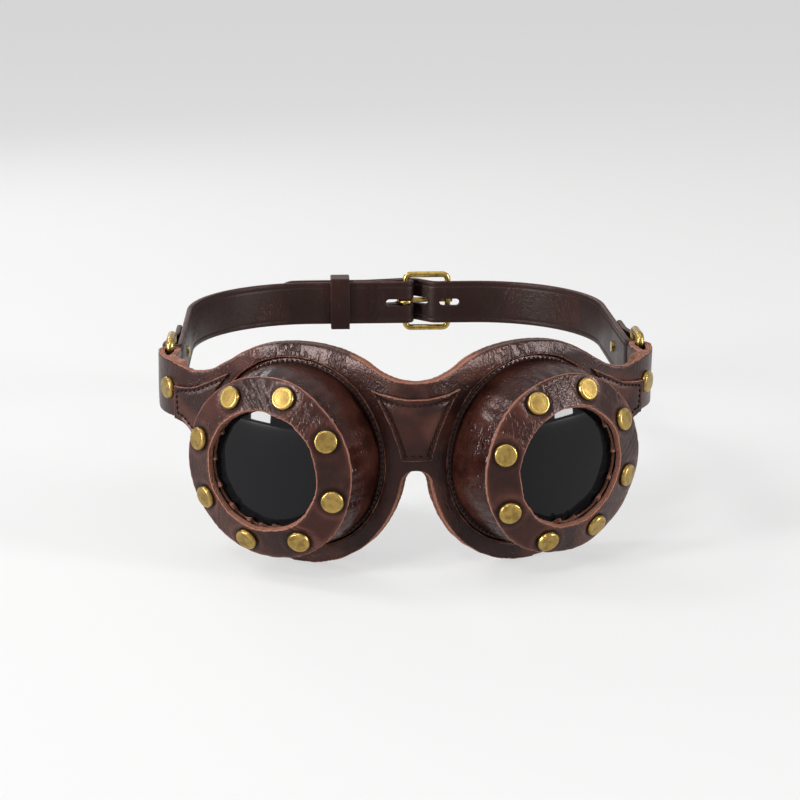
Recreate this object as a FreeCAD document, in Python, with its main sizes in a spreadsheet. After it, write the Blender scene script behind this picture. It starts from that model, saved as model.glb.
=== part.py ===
import FreeCAD, Part
import math
import os
import re

import Sketcher

# Leather goggles worn round a head or a hat. Millimetres. The origin lies on the vertical axis
# of the head, level with the eyes: the front faces -Y, +X is on the viewer's right, +Z is up.

SIZES = {
    # leather, by thickness
    "front_leather": 2.4,
    "lining_leather": 1.8,
    "patch_leather": 1.6,
    "cup_leather": 1.6,
    "flange_leather": 1.2,
    "ring_leather": 2.2,
    "strap_leather": 2.0,
    "keeper_leather": 1.6,
    # plan of the mask: two flat eye panels, a curved bridge and curved temples
    "cup_yaw": 29,
    "rim_to_centre": 4.573,
    "bridge_radius": 24,
    "temple_lead": 1.62,
    "temple_radius": 32.4,
    # outline of the mask, measured on an eye panel from the centre of the eye
    "rim_width": 6,
    "bridge_top": 30.3,
    "nose_top": -1.6,
    "brow_inset": 26,
    "brow_start_height": 34.7,
    "brow_radius": 54,
    "brow_end_angle": 79,
    "dip_start_angle": 55,
    "slope_inset": 8.1,
    "slope_height": 27,
    "dip_outset": 2.4,
    "dip_height": 24.4,
    "tab_outset": 12.4,
    "tab_level": 16,
    "tab_width": 20,
    "tab_corner_radius": 11,
    # overlay patches
    "bridge_patch_half_top": 15.2,
    "bridge_patch_half_bottom": 5.2,
    "bridge_patch_corner_height": 25.8,
    "bridge_patch_mid_height": 23.6,
    "bridge_patch_bottom": 2.2,
    "bridge_patch_side_radius": 60,
    "temple_patch_margin": 2.9,
    "temple_patch_front_height": 25.5,
    "temple_patch_mid_inset": 0.6,
    "temple_patch_mid_height": 19.3,
    "temple_patch_rivet_gap": 0.7,
    "temple_patch_rear_height": 17.8,
    # eye cups
    "wall_base_radius": 31.6,
    "wall_taper": 1.2,
    "ledge_width": 2,
    "flange_overlap": 3.8,
    "recess_clearance": 0.2,
    "lining_show": 0.2,
    "fold_show": 1.9,
    "notch_count": 16,
    "notch_depth": 4.2,
    "notch_width": 3.2,
    # front rings
    "ring_height": 22,
    "cone_angle": 24,
    "ring_overhang": 1.1,
    "ring_width": 10.7,
    # rivets
    "rivet_count": 8,
    "rivet_phase": 28.5,
    "rivet_inset": 5,
    "cap_radius": 4,
    "cap_height": 1.7,
    "cap_edge": 0.6,
    "cap_flat_radius": 2.9,
    "post_radius": 1.4,
    "post_clearance": 0.1,
    "back_radius": 2.1,
    "back_height": 0.9,
    "back_seat": 0.05,
    "strap_rivet_run": 24,
    # lenses and the rings that hold them
    "lens_overlap": 1.8,
    "lens_thickness": 2,
    "lens_crown": 2.4,
    "lens_clearance": 0.1,
    "retainer_seat": 2.2,
    "retainer_lip": 2,
    "retainer_plate": 2.2,
    "retainer_rise": 2.2,
    # side rings
    "wire_radius": 1.5,
    "ring_length": 13,
    "ring_side_clearance": 0.3,
    "ring_corner_radius": 2.2,
    "fold_clearance": 0.3,
    "fold_flat": 0.09,
    "flap_yaw": 59,
    "flap_bend_yaw": 68,
    "flap_bend_radius": 4,
    "flap_gap": 0.5,
    "flap_end": 9,
    # back strap
    "strap_width": 18,
    "rear_distance": 94.5,
    "rear_flat": 34,
    "strap_fold_run": 18,
    "strap_fold_end": 30,
    "layer_clearance": 0.1,
    "bend_radius": 5,
    # buckle
    "buckle_bar_place": 6,
    "buckle_wire_radius": 1.25,
    "buckle_length": 18,
    "buckle_side_clearance": 0.3,
    "buckle_corner_radius": 2.2,
    "buckle_fold_run": 14,
    "buckle_fold_end": 22,
    "step_place": 8,
    "pass_clearance": 0.3,
    "tip_rise_run": 17,
    "tip_turn": 16,
    "tongue_wire_radius": 1,
    "tongue_clearance": 0.08,
    "tongue_overhang": 2.2,
    "tongue_eye_gap": 30,
    "tongue_slot_width": 3,
    "hole_length": 8.5,
    "hole_lead": 1.2,
    "hole_pitch": 13,
    # keeper
    "keeper_place": -22,
    "keeper_width": 8,
    "keeper_clearance": 0.3,
}

# lengths that follow from the sizes
DERIVED = {
    "opening_radius": "(wall_base_radius + ledge_width)",
    "rim_radius": "(opening_radius + rim_width)",
    "flange_radius": "(opening_radius + flange_overlap)",
    "lining_hole_radius": "(wall_base_radius - cup_leather - lining_show)",
    "wall_top_radius": "(wall_base_radius - wall_taper)",
    "ring_outer_radius": "(wall_top_radius + ring_overhang)",
    "ring_inner_radius": "(ring_outer_radius - ring_width)",
    "rivet_circle_radius": "(ring_outer_radius - rivet_inset)",
    "fold_reach_radius": "(ring_inner_radius - fold_show)",
    "lens_radius": "(ring_inner_radius + lens_overlap)",
    "retainer_bore_radius": "(lens_radius - retainer_seat)",
    "nose_reach": "(rim_radius + rim_to_centre)",
    "panel_distance": "(nose_reach / tan(cup_yaw) + bridge_radius * (1 - cos(cup_yaw)))",
    "panel_reach": "(rim_radius - temple_lead)",
    "half_width": "(panel_distance * sin(cup_yaw) + panel_reach * cos(cup_yaw)"
                  " + temple_radius * (1 - sin(cup_yaw)))",
}

doc = FreeCAD.newDocument("goggles")
sheet = doc.addObject("Spreadsheet::Sheet", "Sizes")
for row, (alias, value) in enumerate(SIZES.items(), start=1):
    sheet.set(f"A{row}", alias)
    sheet.set(f"B{row}", str(value))
    sheet.setAlias(f"B{row}", alias)
doc.recompute()


# Expressions on the sheet

def bound(text):
    """The expression with every size written as a cell of the sheet."""
    def cell(word):
        name = word[0]
        if name in DERIVED:
            return bound(DERIVED[name])
        return f"Sizes.{name}" if name in SIZES else name

    return re.sub("[a-z_]+", cell, text)


def measure(text):
    """The present value of an expression."""
    return float(sheet.evalExpression(bound(text)))


def bind(thing, **expressions):
    """Tie properties of an object to expressions; a double underscore stands for a dot."""
    for name, text in expressions.items():
        thing.setExpression(name.replace("__", "."), bound(text))


def place(thing, x="0", y="0", z="0", yaw="0", pitch="0", roll="0"):
    """Tie the place of an object: turned by roll, pitch and yaw, then moved."""
    bind(thing, Placement=f"placement(vector({x}; {y}; {z}); rotation({yaw}; {pitch}; {roll}))")


# Sketches

def corner(x, y, fillet=None, arc=None):
    """One corner of an outline; arc is the radius and turn of the edge that leaves it."""
    return {"x": x, "y": y, "fillet": fillet, "arc": arc}


def unit(start, end):
    return (end - start).normalize()


def arc_between(start, end, radius, turn):
    """The shorter arc from start to end that turns left or right."""
    half = (end - start).Length / 2
    left = FreeCAD.Vector(start.y - end.y, end.x - start.x, 0).normalize()
    side = 1 if turn == "left" else -1
    centre = (start + end) / 2 + left * (side * math.sqrt(max(radius**2 - half**2, 0)))
    first, last = (start, end) if turn == "left" else (end, start)
    angles = [math.atan2(p.y - centre.y, p.x - centre.x) for p in (first, last)]
    circle = Part.Circle(centre, FreeCAD.Vector(0, 0, 1), radius)
    return Part.ArcOfCircle(circle, angles[0], angles[1])


class Outline:
    """Draws lines and arcs through bound corners into a sketch."""

    def __init__(self, sketch, corners, closed=True):
        self.sketch = sketch
        self.corners = corners
        self.closed = closed
        self.points = [FreeCAD.Vector(measure(c["x"]), measure(c["y"]), 0) for c in corners]
        self.count = len(corners)
        self.constraints = []
        self.formulas = []
        self.draw()

    def edge_numbers(self):
        return range(self.count if self.closed else self.count - 1)

    def neighbours(self, number):
        return self.points[number - 1], self.points[number], self.points[(number + 1) % self.count]

    def tangent_points(self, number):
        before, here, after = self.neighbours(number)
        back = unit(here, before)
        ahead = unit(here, after)
        half_turn = (math.pi - back.getAngle(ahead)) / 2
        reach = measure(self.corners[number]["fillet"]) * math.tan(half_turn)
        return here + back * reach, here + ahead * reach

    def add(self, *arguments, formula=None):
        if formula is not None:
            self.formulas.append((len(self.constraints), formula))
        self.constraints.append(Sketcher.Constraint(*arguments))

    def pin(self, piece, end, point):
        for axis, kind, text in ((-2, "DistanceX", point["x"]), (-1, "DistanceY", point["y"])):
            if text == "0":
                self.add("PointOnObject", piece, end, axis)
            else:
                self.add(kind, -1, 1, piece, end, measure(text), formula=text)

    def draw(self):
        starts = list(self.points)
        ends = [self.points[(n + 1) % self.count] for n in range(self.count)]
        rounded = [n for n in range(self.count) if self.corners[n]["fillet"]]
        for n in rounded:
            ends[n - 1], starts[n] = self.tangent_points(n)
        edges = {n: self.add_edge(n, starts[n], ends[n]) for n in self.edge_numbers()}
        for n in range(self.count):
            before = edges.get(n - 1 if n else self.count - 1)
            after = edges.get(n)
            if n in rounded:
                self.round_corner(n, before, after, ends[n - 1], starts[n])
            elif after is None:
                self.pin(before[0], before[2], self.corners[n])
            else:
                self.pin(after[0], after[1], self.corners[n])
                if before is not None:
                    self.add("Coincident", before[0], before[2], after[0], after[1])
        self.sketch.addConstraint(self.constraints)
        for number, text in self.formulas:
            self.sketch.setExpression(f"Constraints[{number}]", bound(text))

    def add_edge(self, number, start, end):
        """Adds one edge and returns its number with the ends at which it starts and stops."""
        arc = self.corners[number]["arc"]
        if arc is None:
            return self.sketch.addGeometry(Part.LineSegment(start, end)), 1, 2
        radius, turn = arc
        piece = self.sketch.addGeometry(arc_between(start, end, measure(radius), turn))
        self.add("Radius", piece, measure(radius), formula=radius)
        return (piece, 1, 2) if turn == "left" else (piece, 2, 1)

    def round_corner(self, number, before, after, start, end):
        here = self.corners[number]
        previous, point, following = self.neighbours(number)
        turn = "left" if (point - previous).cross(following - point).z > 0 else "right"
        radius = here["fillet"]
        piece = self.sketch.addGeometry(arc_between(start, end, measure(radius), turn))
        mark = self.sketch.addGeometry(Part.Point(point), True)
        first, last = (1, 2) if turn == "left" else (2, 1)
        self.add("Tangent", before[0], before[2], piece, first)
        self.add("Tangent", piece, last, after[0], after[1])
        self.add("Radius", piece, measure(radius), formula=radius)
        self.add("PointOnObject", mark, 1, before[0])
        self.add("PointOnObject", mark, 1, after[0])
        self.pin(mark, 1, here)


def free_sketch(name, corners, closed=True, **at):
    """A sketch of its own, placed in the part."""
    sketch = doc.addObject("Sketcher::SketchObject", name)
    place(sketch, **at)
    Outline(sketch, corners, closed)
    return sketch


def body_sketch(body, name, role, corners):
    """A sketch on one of a body's own planes."""
    sketch = body.newObject("Sketcher::SketchObject", name)
    sketch.AttachmentSupport = [(origin_feature(body, role), "")]
    sketch.MapMode = "FlatFace"
    Outline(sketch, corners)
    return sketch


def origin_feature(body, role):
    return next(item for item in body.Origin.OriginFeatures if item.Role == role)


# Features

def extrude(name, sketch, ahead, behind="0"):
    """A solid from a closed sketch, along the sketch's normal and against it."""
    solid = doc.addObject("Part::Extrusion", name)
    solid.Base = sketch
    solid.DirMode = "Normal"
    solid.Solid = True
    bind(solid, LengthFwd=ahead, LengthRev=behind)
    return solid


def sweep(name, path, section):
    """A section carried along a path."""
    solid = doc.addObject("Part::Sweep", name)
    solid.Sections = [section]
    doc.recompute()
    solid.Spine = (path, [f"Edge{number + 1}" for number in range(len(path.Shape.Edges))])
    solid.Solid = True
    solid.Frenet = False
    return solid


def combine(kind, name, pieces):
    """A fuse, common or compound of several solids."""
    result = doc.addObject(f"Part::{kind}", name)
    if kind == "Compound":
        result.Links = pieces
    else:
        result.Shapes = pieces
    return result


def cut(name, base, tool):
    result = doc.addObject("Part::Cut", name)
    result.Base = base
    result.Tool = tool
    return result


def mirrored(name, source):
    """The same piece on the other side of the nose."""
    result = doc.addObject("Part::Mirroring", name)
    result.Source = source
    result.Normal = FreeCAD.Vector(1, 0, 0)
    return result


def cylinder(name, radius, length, **at):
    """A plain cylinder along its own +Z before it is turned."""
    result = doc.addObject("Part::Cylinder", name)
    bind(result, Radius=radius, Height=length)
    place(result, **at)
    return result


def box(name, lowest, size):
    """A block from its lowest corner."""
    result = doc.addObject("Part::Box", name)
    bind(result, Length=size[0], Width=size[1], Height=size[2])
    place(result, x=lowest[0], y=lowest[1], z=lowest[2])
    return result


def revolve(body, name, sketch):
    """A full turn of a sketch about its own vertical axis."""
    feature = body.newObject("PartDesign::Revolution", name)
    feature.Profile = sketch
    feature.ReferenceAxis = (sketch, ["V_Axis"])
    feature.Angle = 360
    return feature


def repeat(body, name, feature, count):
    """Copies of a feature round the axis of a cup."""
    pattern = body.newObject("PartDesign::PolarPattern", name)
    pattern.Originals = [feature]
    pattern.Axis = (origin_feature(body, "Y_Axis"), [""])
    pattern.Angle = 360
    bind(pattern, Occurrences=count)
    body.Tip = pattern
    return pattern


def rectangle(half_wide, half_high):
    """A rectangle about the origin of its sketch."""
    signs = ((-1, -1), (1, -1), (1, 1), (-1, 1))
    return [corner(f"{a} * ({half_wide})", f"{b} * ({half_high})") for a, b in signs]


NODES = []


def node(thing, label):
    """Marks a finished sub-part and names it."""
    thing.Label = label
    NODES.append(thing)
    return thing


# Plan of the mask

TAB_BOTTOM = "(tab_level - tab_width / 2)"
TAB_TOP = "(tab_level + tab_width / 2)"
TEMPLE_X = "(half_width - temple_radius)"
TEMPLE_Y = ("((half_width * sin(cup_yaw) - panel_distance) / cos(cup_yaw)"
            " + temple_radius * tan((90 - cup_yaw) / 2))")
TALL = "(3 * rim_radius)"


def plan_bends(depth):
    """The bends of the mask's plan at a depth under its outer face: temple, bridge and temple."""
    wide = f"(half_width - ({depth}))"
    away = f"(panel_distance - ({depth}))"
    temple = f"({wide} * sin(cup_yaw) - {away}) / cos(cup_yaw)"
    temple_bend = f"temple_radius - ({depth})"
    return [
        corner(f"-{wide}", temple, fillet=temple_bend),
        corner("0", f"-{away} / cos(cup_yaw)", fillet=f"bridge_radius - ({depth})"),
        corner(wide, temple, fillet=temple_bend),
    ]


def band(name, outer, inner):
    """A tall band between two depths, which runs past the tabs and which the outlines then trim."""
    past = f"{TEMPLE_Y} + wire_radius"
    outside = f"(half_width - ({outer}))"
    inside = f"(half_width - ({inner}))"
    corners = [corner(f"-{outside}", past)] + plan_bends(outer) + [corner(outside, past)]
    corners += [corner(inside, past)] + plan_bends(inner)[::-1] + [corner(f"-{inside}", past)]
    sketch = free_sketch(f"{name}_plan", corners)
    return extrude(f"{name}_band", sketch, f"{TALL} / 2", f"{TALL} / 2")


# Outline of the mask, on the right eye panel: across from the eye, and up

NOSE_RADIUS = "((nose_reach^2 + nose_top^2 - rim_radius^2) / (2 * (rim_radius + nose_top)))"
NOSE_SHARE = f"(rim_radius / (rim_radius + {NOSE_RADIUS}))"
CORNER_REACH = ("sqrt((rim_radius + tab_corner_radius)^2"
                f" - ({TAB_BOTTOM} - tab_corner_radius)^2)")
CORNER_SHARE = "(rim_radius / (rim_radius + tab_corner_radius))"
PAST_NOSE = "-nose_reach - bridge_radius / 4"
PAST_TAB = "(half_width + temple_radius)"


def flat_arc(run, rise):
    """Radius of an arc that is level at one end of a run and climbs by a rise."""
    return f"((({run})^2 + ({rise})^2) / (2 * ({rise})))"


def on_rim(angle):
    return f"rim_radius * cos({angle})", f"rim_radius * sin({angle})"


def outline_corners(with_tab):
    """The mask's edge from the nose over the brow, round the outer side and back to the nose."""
    sag = flat_arc("nose_reach - brow_inset", "brow_start_height - bridge_top")
    brow = [
        corner(PAST_NOSE, "bridge_top"),
        corner("-nose_reach", "bridge_top", arc=(sag, "left")),
        corner("-brow_inset", "brow_start_height", arc=("brow_radius", "right")),
    ]
    dip = flat_arc("dip_outset + slope_inset", "slope_height - dip_height")
    tab = [
        corner(*on_rim("brow_end_angle"), arc=("rim_radius", "right")),
        corner(*on_rim("dip_start_angle")),
        corner("rim_radius - slope_inset", "slope_height", arc=(dip, "left")),
        corner("rim_radius + dip_outset", "dip_height"),
        corner("rim_radius + tab_outset", TAB_TOP),
        corner(PAST_TAB, TAB_TOP),
        corner(PAST_TAB, TAB_BOTTOM),
        corner(CORNER_REACH, TAB_BOTTOM, arc=("tab_corner_radius", "left")),
        corner(f"{CORNER_REACH} * {CORNER_SHARE}",
               f"({TAB_BOTTOM} - tab_corner_radius) * {CORNER_SHARE}", arc=("rim_radius", "right")),
    ]
    round_side = [
        corner(*on_rim("brow_end_angle"), arc=("rim_radius", "right")),
        corner("rim_radius", "0", arc=("rim_radius", "right")),
    ]
    nose = [
        corner("0", "-rim_radius", arc=("rim_radius", "right")),
        corner(f"-nose_reach * {NOSE_SHARE}",
               f"(nose_top - {NOSE_RADIUS}) * {NOSE_SHARE}", arc=(NOSE_RADIUS, "left")),
        corner("-nose_reach", "nose_top"),
        corner(PAST_NOSE, "nose_top"),
    ]
    return brow + (tab if with_tab else round_side) + nose


ON_PANEL = {"yaw": "cup_yaw", "roll": "90"}


def outline_prism(name, with_tab):
    """The outline of both halves, cut straight through along each cup's axis."""
    sketch = free_sketch(f"{name}_outline", outline_corners(with_tab), **ON_PANEL)
    right = extrude(f"{name}_outline_right", sketch, "panel_distance + rim_radius")
    return right, mirrored(f"{name}_outline_left", right)


def both_eyes(name, radius, start, length):
    """A cylinder on each cup's axis, from a distance out from the head's axis."""
    right = cylinder(f"{name}_right", radius, length, x=f"({start}) * sin(cup_yaw)",
                     y=f"-({start}) * cos(cup_yaw)", **ON_PANEL)
    return [right, mirrored(f"{name}_left", right)]


# Side rings and the folds that hold them

WIRE_FOLD = "(wire_radius + fold_clearance)"
RING_X = f"(half_width - front_leather - {WIRE_FOLD})"
FRONT_BAR_Y = TEMPLE_Y
REAR_BAR_Y = f"({TEMPLE_Y} + ring_length)"
RING_HALF = "(tab_width / 2 + ring_side_clearance + ring_corner_radius)"
TAB_FOLD = f"({WIRE_FOLD} + front_leather / 2)"
FLAP_X = f"({RING_X} - {TAB_FOLD})"
FLAP_RADIUS = "(temple_radius - 3 * front_leather / 2 - flap_gap)"
FLAP_BEND = f"({FLAP_RADIUS} / cos(flap_bend_yaw - flap_yaw))"


def bent_strip(name, path_corners, thick, wide, start):
    """A flat strip of leather on edge, which follows a level path that starts along Y."""
    path = free_sketch(f"{name}_path", path_corners, closed=False, z="tab_level")
    section = free_sketch(f"{name}_section", rectangle(f"{thick} / 2", f"{wide} / 2"),
                          x=start[0], y=start[1], z="tab_level", roll="90")
    return sweep(f"{name}_strip", path, section)


def tab_fold():
    """The end of the mask, folded back inwards round the ring's front bar."""
    turn = f"{TAB_FOLD} - fold_flat"
    outside = f"{RING_X} + {TAB_FOLD}"
    rear = f"{FRONT_BAR_Y} + {TAB_FOLD}"
    bend_x = f"{TEMPLE_X} + {FLAP_BEND} * sin(flap_bend_yaw)"
    bend_y = f"{TEMPLE_Y} - {FLAP_BEND} * cos(flap_bend_yaw)"
    path = [
        corner(outside, FRONT_BAR_Y),
        corner(outside, rear, fillet=turn),
        corner(FLAP_X, rear, fillet=turn),
        corner(FLAP_X, f"{FRONT_BAR_Y} - wire_radius", fillet="bend_radius"),
        corner(bend_x, bend_y, fillet="flap_bend_radius"),
        corner(f"{bend_x} - flap_end * cos(flap_yaw)", f"{bend_y} - flap_end * sin(flap_yaw)"),
    ]
    return bent_strip("tab_fold", path, "front_leather", "tab_width", (outside, FRONT_BAR_Y))


def bent_wire(name, path, radius, **start):
    """A round wire along a path; its section stands at the path's start."""
    section = doc.addObject("Sketcher::SketchObject", f"{name}_section")
    place(section, **start)
    size = measure(radius)
    circle = section.addGeometry(Part.Circle(FreeCAD.Vector(), FreeCAD.Vector(0, 0, 1), size))
    section.addConstraint(Sketcher.Constraint("Coincident", circle, 3, -1, 1))
    number = section.addConstraint(Sketcher.Constraint("Radius", circle, size))
    section.setExpression(f"Constraints[{number}]", bound(radius))
    return sweep(f"{name}_wire", path, section)


def frame_corners(near, far, low, high, radius):
    """A rounded frame that starts halfway up its near side."""
    middle = f"(({low}) + ({high})) / 2"
    return [
        corner(near, middle),
        corner(near, high, fillet=radius),
        corner(far, high, fillet=radius),
        corner(far, low, fillet=radius),
        corner(near, low, fillet=radius),
    ]


def side_ring():
    """The ring between tab and strap, a rectangle of round wire standing fore and aft."""
    corners = frame_corners(FRONT_BAR_Y, REAR_BAR_Y, f"tab_level - {RING_HALF}",
                            f"tab_level + {RING_HALF}", "ring_corner_radius")
    path = free_sketch("side_ring_path", corners, x=RING_X, yaw="90", roll="90")
    return bent_wire("side_ring", path, "wire_radius", x=RING_X, y=FRONT_BAR_Y, z="tab_level")


# Rivets: half sections across from the rivet's axis, and outwards from the leather's face

def dome():
    """A low cap with a flat top, seated on the leather."""
    return [
        corner("0", "0"),
        corner("cap_radius", "0"),
        corner("cap_radius", "cap_edge", arc=("2 * cap_height", "left")),
        corner("cap_flat_radius", "cap_height"),
        corner("0", "cap_height"),
    ]


def shank(grip):
    """A post under the cap, with its back clinched behind the layers that it grips."""
    back = f"-({grip}) - back_seat"
    return [
        corner("0", "0"),
        corner("0", f"{back} - back_height"),
        corner("back_radius", f"{back} - back_height"),
        corner("back_radius", back),
        corner("post_radius", back),
        corner("post_radius", "0"),
    ]


def bore(grip):
    """The hole that a post passes through, run past both faces."""
    wide = "post_radius + post_clearance"
    deep = f"-({grip}) - cap_height"
    return [
        corner("0", "cap_height"),
        corner("0", deep),
        corner(wide, deep),
        corner(wide, "cap_height"),
    ]


def lone_rivet(name, profile, **at):
    """A rivet piece on an axis of its own, which points outwards."""
    body = doc.addObject("PartDesign::Body", name)
    sketch = body_sketch(body, f"{name}_profile", "XZ_Plane", profile)
    revolve(body, f"{name}_turn", sketch)
    place(body, **at)
    return body


def rivet_set(caps_label, posts_label, prefix, grip, **at):
    """A cap and a post on each side of the head, mirrored; returns the hole cutters."""
    caps = lone_rivet(f"{prefix}_cap", dome(), **at)
    posts = lone_rivet(f"{prefix}_post", shank(grip), **at)
    holes = lone_rivet(f"{prefix}_hole", bore(grip), **at)
    for label, piece in ((caps_label, caps), (posts_label, posts)):
        other = mirrored(f"{label}_left", piece)
        node(combine("Compound", f"{label}_pair", [piece, other]), label)
    return [holes, mirrored(f"{prefix}_hole_left", holes)]


# Mask

def build_mask():
    front_right, front_left = outline_prism("mask", True)
    lining_prisms = outline_prism("lining", False)
    front_band = band("front", "0", "front_leather")
    lining_band = band("lining", "front_leather", "front_leather + lining_leather")
    recess = both_eyes("recess", "flange_radius + recess_clearance",
                       "panel_distance - front_leather - flange_leather", "flange_leather")

    tab_holes = rivet_set(
        "tab_rivet_caps", "tab_rivet_posts", "tab_rivet", "2 * front_leather + flap_gap",
        x=f"{TEMPLE_X} + temple_radius * sin(flap_yaw)",
        y=f"{TEMPLE_Y} - temple_radius * cos(flap_yaw)", z="tab_level",
        yaw="flap_yaw", roll="90")

    fold = tab_fold()
    trimmed = combine("MultiCommon", "mask_trimmed",
                      [front_band, combine("MultiFuse", "mask_outlines", [front_right, front_left])])
    ends = box("tab_end_trim", (f"-{PAST_TAB}", FRONT_BAR_Y, f"-{TALL} / 2"),
               (f"2 * {PAST_TAB}", "half_width", TALL))
    blank = combine("MultiFuse", "mask_blank",
                    [cut("mask_ended", trimmed, ends), fold, mirrored("tab_fold_left", fold)])
    openings = both_eyes("opening", "opening_radius", "panel_distance - rim_radius", "2 * rim_radius")
    mask_cuts = combine("MultiFuse", "mask_cuts", openings + recess + tab_holes)
    node(cut("mask_front_cut", blank, mask_cuts), "mask_front")

    lining = combine("MultiCommon", "lining_trimmed",
                     [lining_band, combine("MultiFuse", "lining_outlines", list(lining_prisms))])
    lining_holes = both_eyes("lining_hole", "lining_hole_radius", "panel_distance - rim_radius",
                             "2 * rim_radius")
    lining_cuts = combine("MultiFuse", "lining_cuts", lining_holes + recess)
    node(cut("mask_lining_cut", lining, lining_cuts), "mask_lining")
    build_patches(front_right)


def build_patches(front_right):
    """Overlays sewn on the bridge and on each temple."""
    patch_band = band("patch", "-patch_leather", "0")
    side = "bridge_patch_side_radius"
    half_bow = "bridge_patch_corner_height - bridge_patch_mid_height"
    bow = flat_arc("bridge_patch_half_top", half_bow)
    top, low = "bridge_patch_half_top", "bridge_patch_half_bottom"
    window = free_sketch("bridge_patch_outline", [
        corner(f"-{low}", "bridge_patch_bottom"),
        corner(low, "bridge_patch_bottom", arc=(side, "right")),
        corner(top, "bridge_patch_corner_height", arc=(bow, "right")),
        corner(f"-{top}", "bridge_patch_corner_height", arc=(side, "right")),
    ], roll="90")
    prism = extrude("bridge_patch_prism", window, "panel_distance + rim_radius")
    node(combine("MultiCommon", "bridge_patch_trimmed", [patch_band, prism]), "bridge_patch")

    inner = "(opening_radius + temple_patch_margin)"
    middle = "(rim_radius - temple_patch_mid_inset)"
    rear = ("(panel_reach + temple_radius * sin(flap_yaw - cup_yaw)"
            " - (cap_radius + temple_patch_rivet_gap) * cos(flap_yaw - cup_yaw))")
    drop = flat_arc(f"{rear} - {middle}", "temple_patch_mid_height - temple_patch_rear_height")
    low_z = "-tab_corner_radius"
    window = free_sketch("temple_patch_outline", [
        corner(f"sqrt({inner}^2 - temple_patch_front_height^2)", "temple_patch_front_height"),
        corner(middle, "temple_patch_mid_height", arc=(drop, "left")),
        corner(rear, "temple_patch_rear_height"),
        corner(rear, low_z),
        corner(f"sqrt({inner}^2 - tab_corner_radius^2)", low_z, arc=(inner, "left")),
    ], **ON_PANEL)
    prism = extrude("temple_patch_prism", window, "panel_distance + rim_radius")
    right = combine("MultiCommon", "temple_patch_trimmed", [patch_band, front_right, prism])
    node(right, "right_temple_patch")
    node(mirrored("temple_patch_mirrored", right), "left_temple_patch")


# Eye cups: half sections across from the cup's axis, and out from the head's axis

RING_BACK = "ring_leather / cos(cone_angle)"
FOLD_BACK = f"({RING_BACK} + cup_leather / cos(cone_angle))"
LENS_FRONT = ("(ring_height + (rivet_circle_radius - lens_radius) * tan(cone_angle)"
              f" - {FOLD_BACK} - lens_clearance)")
LENS_BACK = f"({LENS_FRONT} - lens_thickness)"
PLATE_TOP = f"({LENS_BACK} - retainer_rise)"
PLATE_LOW = f"({PLATE_TOP} - retainer_plate)"


def cone(radius, below="0"):
    """Height over the mask of the front ring's slope at a radius, or of a face below it."""
    return f"ring_height + (rivet_circle_radius - ({radius})) * tan(cone_angle) - ({below})"


def cup_point(radius, height, **more):
    """A corner of a half section at a radius and a height over the mask's outer face."""
    return corner(radius, f"-(panel_distance + {height})", **more)


def wall_radius(height):
    """Outer radius of the cup's wall, which narrows towards the front."""
    full = f"({cone('wall_top_radius', RING_BACK)} + front_leather)"
    return ("(wall_base_radius - (wall_base_radius - wall_top_radius)"
            f" * ({height} + front_leather) / {full})")


def tilted(sketch):
    """Stands a sketch on the front ring's slope at the rivet circle, its vertical axis outwards."""
    bind(sketch, AttachmentOffset__Base__x="rivet_circle_radius",
         AttachmentOffset__Base__y="-(panel_distance + ring_height)",
         AttachmentOffset__Rotation__Angle="180 + cone_angle")


def turned_body(name, profile, yaw, pitch="0"):
    """A body turned about a cup's axis."""
    body = doc.addObject("PartDesign::Body", name)
    sketch = body_sketch(body, f"{name}_profile", "XY_Plane", profile)
    revolve(body, f"{name}_turn", sketch)
    place(body, yaw=yaw, pitch=pitch)
    return body


def rivet_bores(body, name):
    """Holes for the rivets round a front ring."""
    sketch = body_sketch(body, f"{name}_bore", "XY_Plane", bore("ring_leather + cup_leather"))
    tilted(sketch)
    groove = body.newObject("PartDesign::Groove", f"{name}_bored")
    groove.Profile = sketch
    groove.ReferenceAxis = (sketch, ["V_Axis"])
    groove.Angle = 360
    repeat(body, f"{name}_bores", groove, "rivet_count")


def ring_rivets(name, profile, yaw):
    """One piece of each rivet, eight to a ring."""
    body = doc.addObject("PartDesign::Body", name)
    sketch = body_sketch(body, f"{name}_profile", "XY_Plane", profile)
    tilted(sketch)
    first = revolve(body, f"{name}_turn", sketch)
    repeat(body, f"{name}_all", first, "rivet_count")
    place(body, yaw=yaw, pitch="-rivet_phase")
    return body


def cup_wall(name, yaw):
    """The cup's wall, flanged under the mask and folded inwards under the front ring."""
    top_inner = "(wall_top_radius - cup_leather)"
    body = turned_body(name, [
        cup_point("flange_radius", "(-front_leather - flange_leather)"),
        cup_point("flange_radius", "(-front_leather)"),
        cup_point("wall_base_radius", "(-front_leather)"),
        cup_point("wall_top_radius", cone("wall_top_radius", RING_BACK)),
        cup_point("fold_reach_radius", cone("fold_reach_radius", RING_BACK)),
        cup_point("fold_reach_radius", cone("fold_reach_radius", FOLD_BACK)),
        cup_point(top_inner, cone(top_inner, FOLD_BACK)),
        cup_point("wall_base_radius - cup_leather", "(-front_leather - flange_leather)"),
    ], yaw, "-rivet_phase")
    rivet_bores(body, name)
    tip = "(fold_reach_radius + notch_depth)"
    root = "(fold_reach_radius - notch_depth)"
    sketch = body_sketch(body, f"{name}_notch", "XZ_Plane", [
        corner(tip, "0"),
        corner(root, "notch_width"),
        corner(root, "-notch_width"),
    ])
    pocket = body.newObject("PartDesign::Pocket", f"{name}_notched")
    pocket.Profile = sketch
    pocket.Type = "ThroughAll"
    pocket.Midplane = True
    repeat(body, f"{name}_notches", pocket, "notch_count")
    return body


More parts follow.
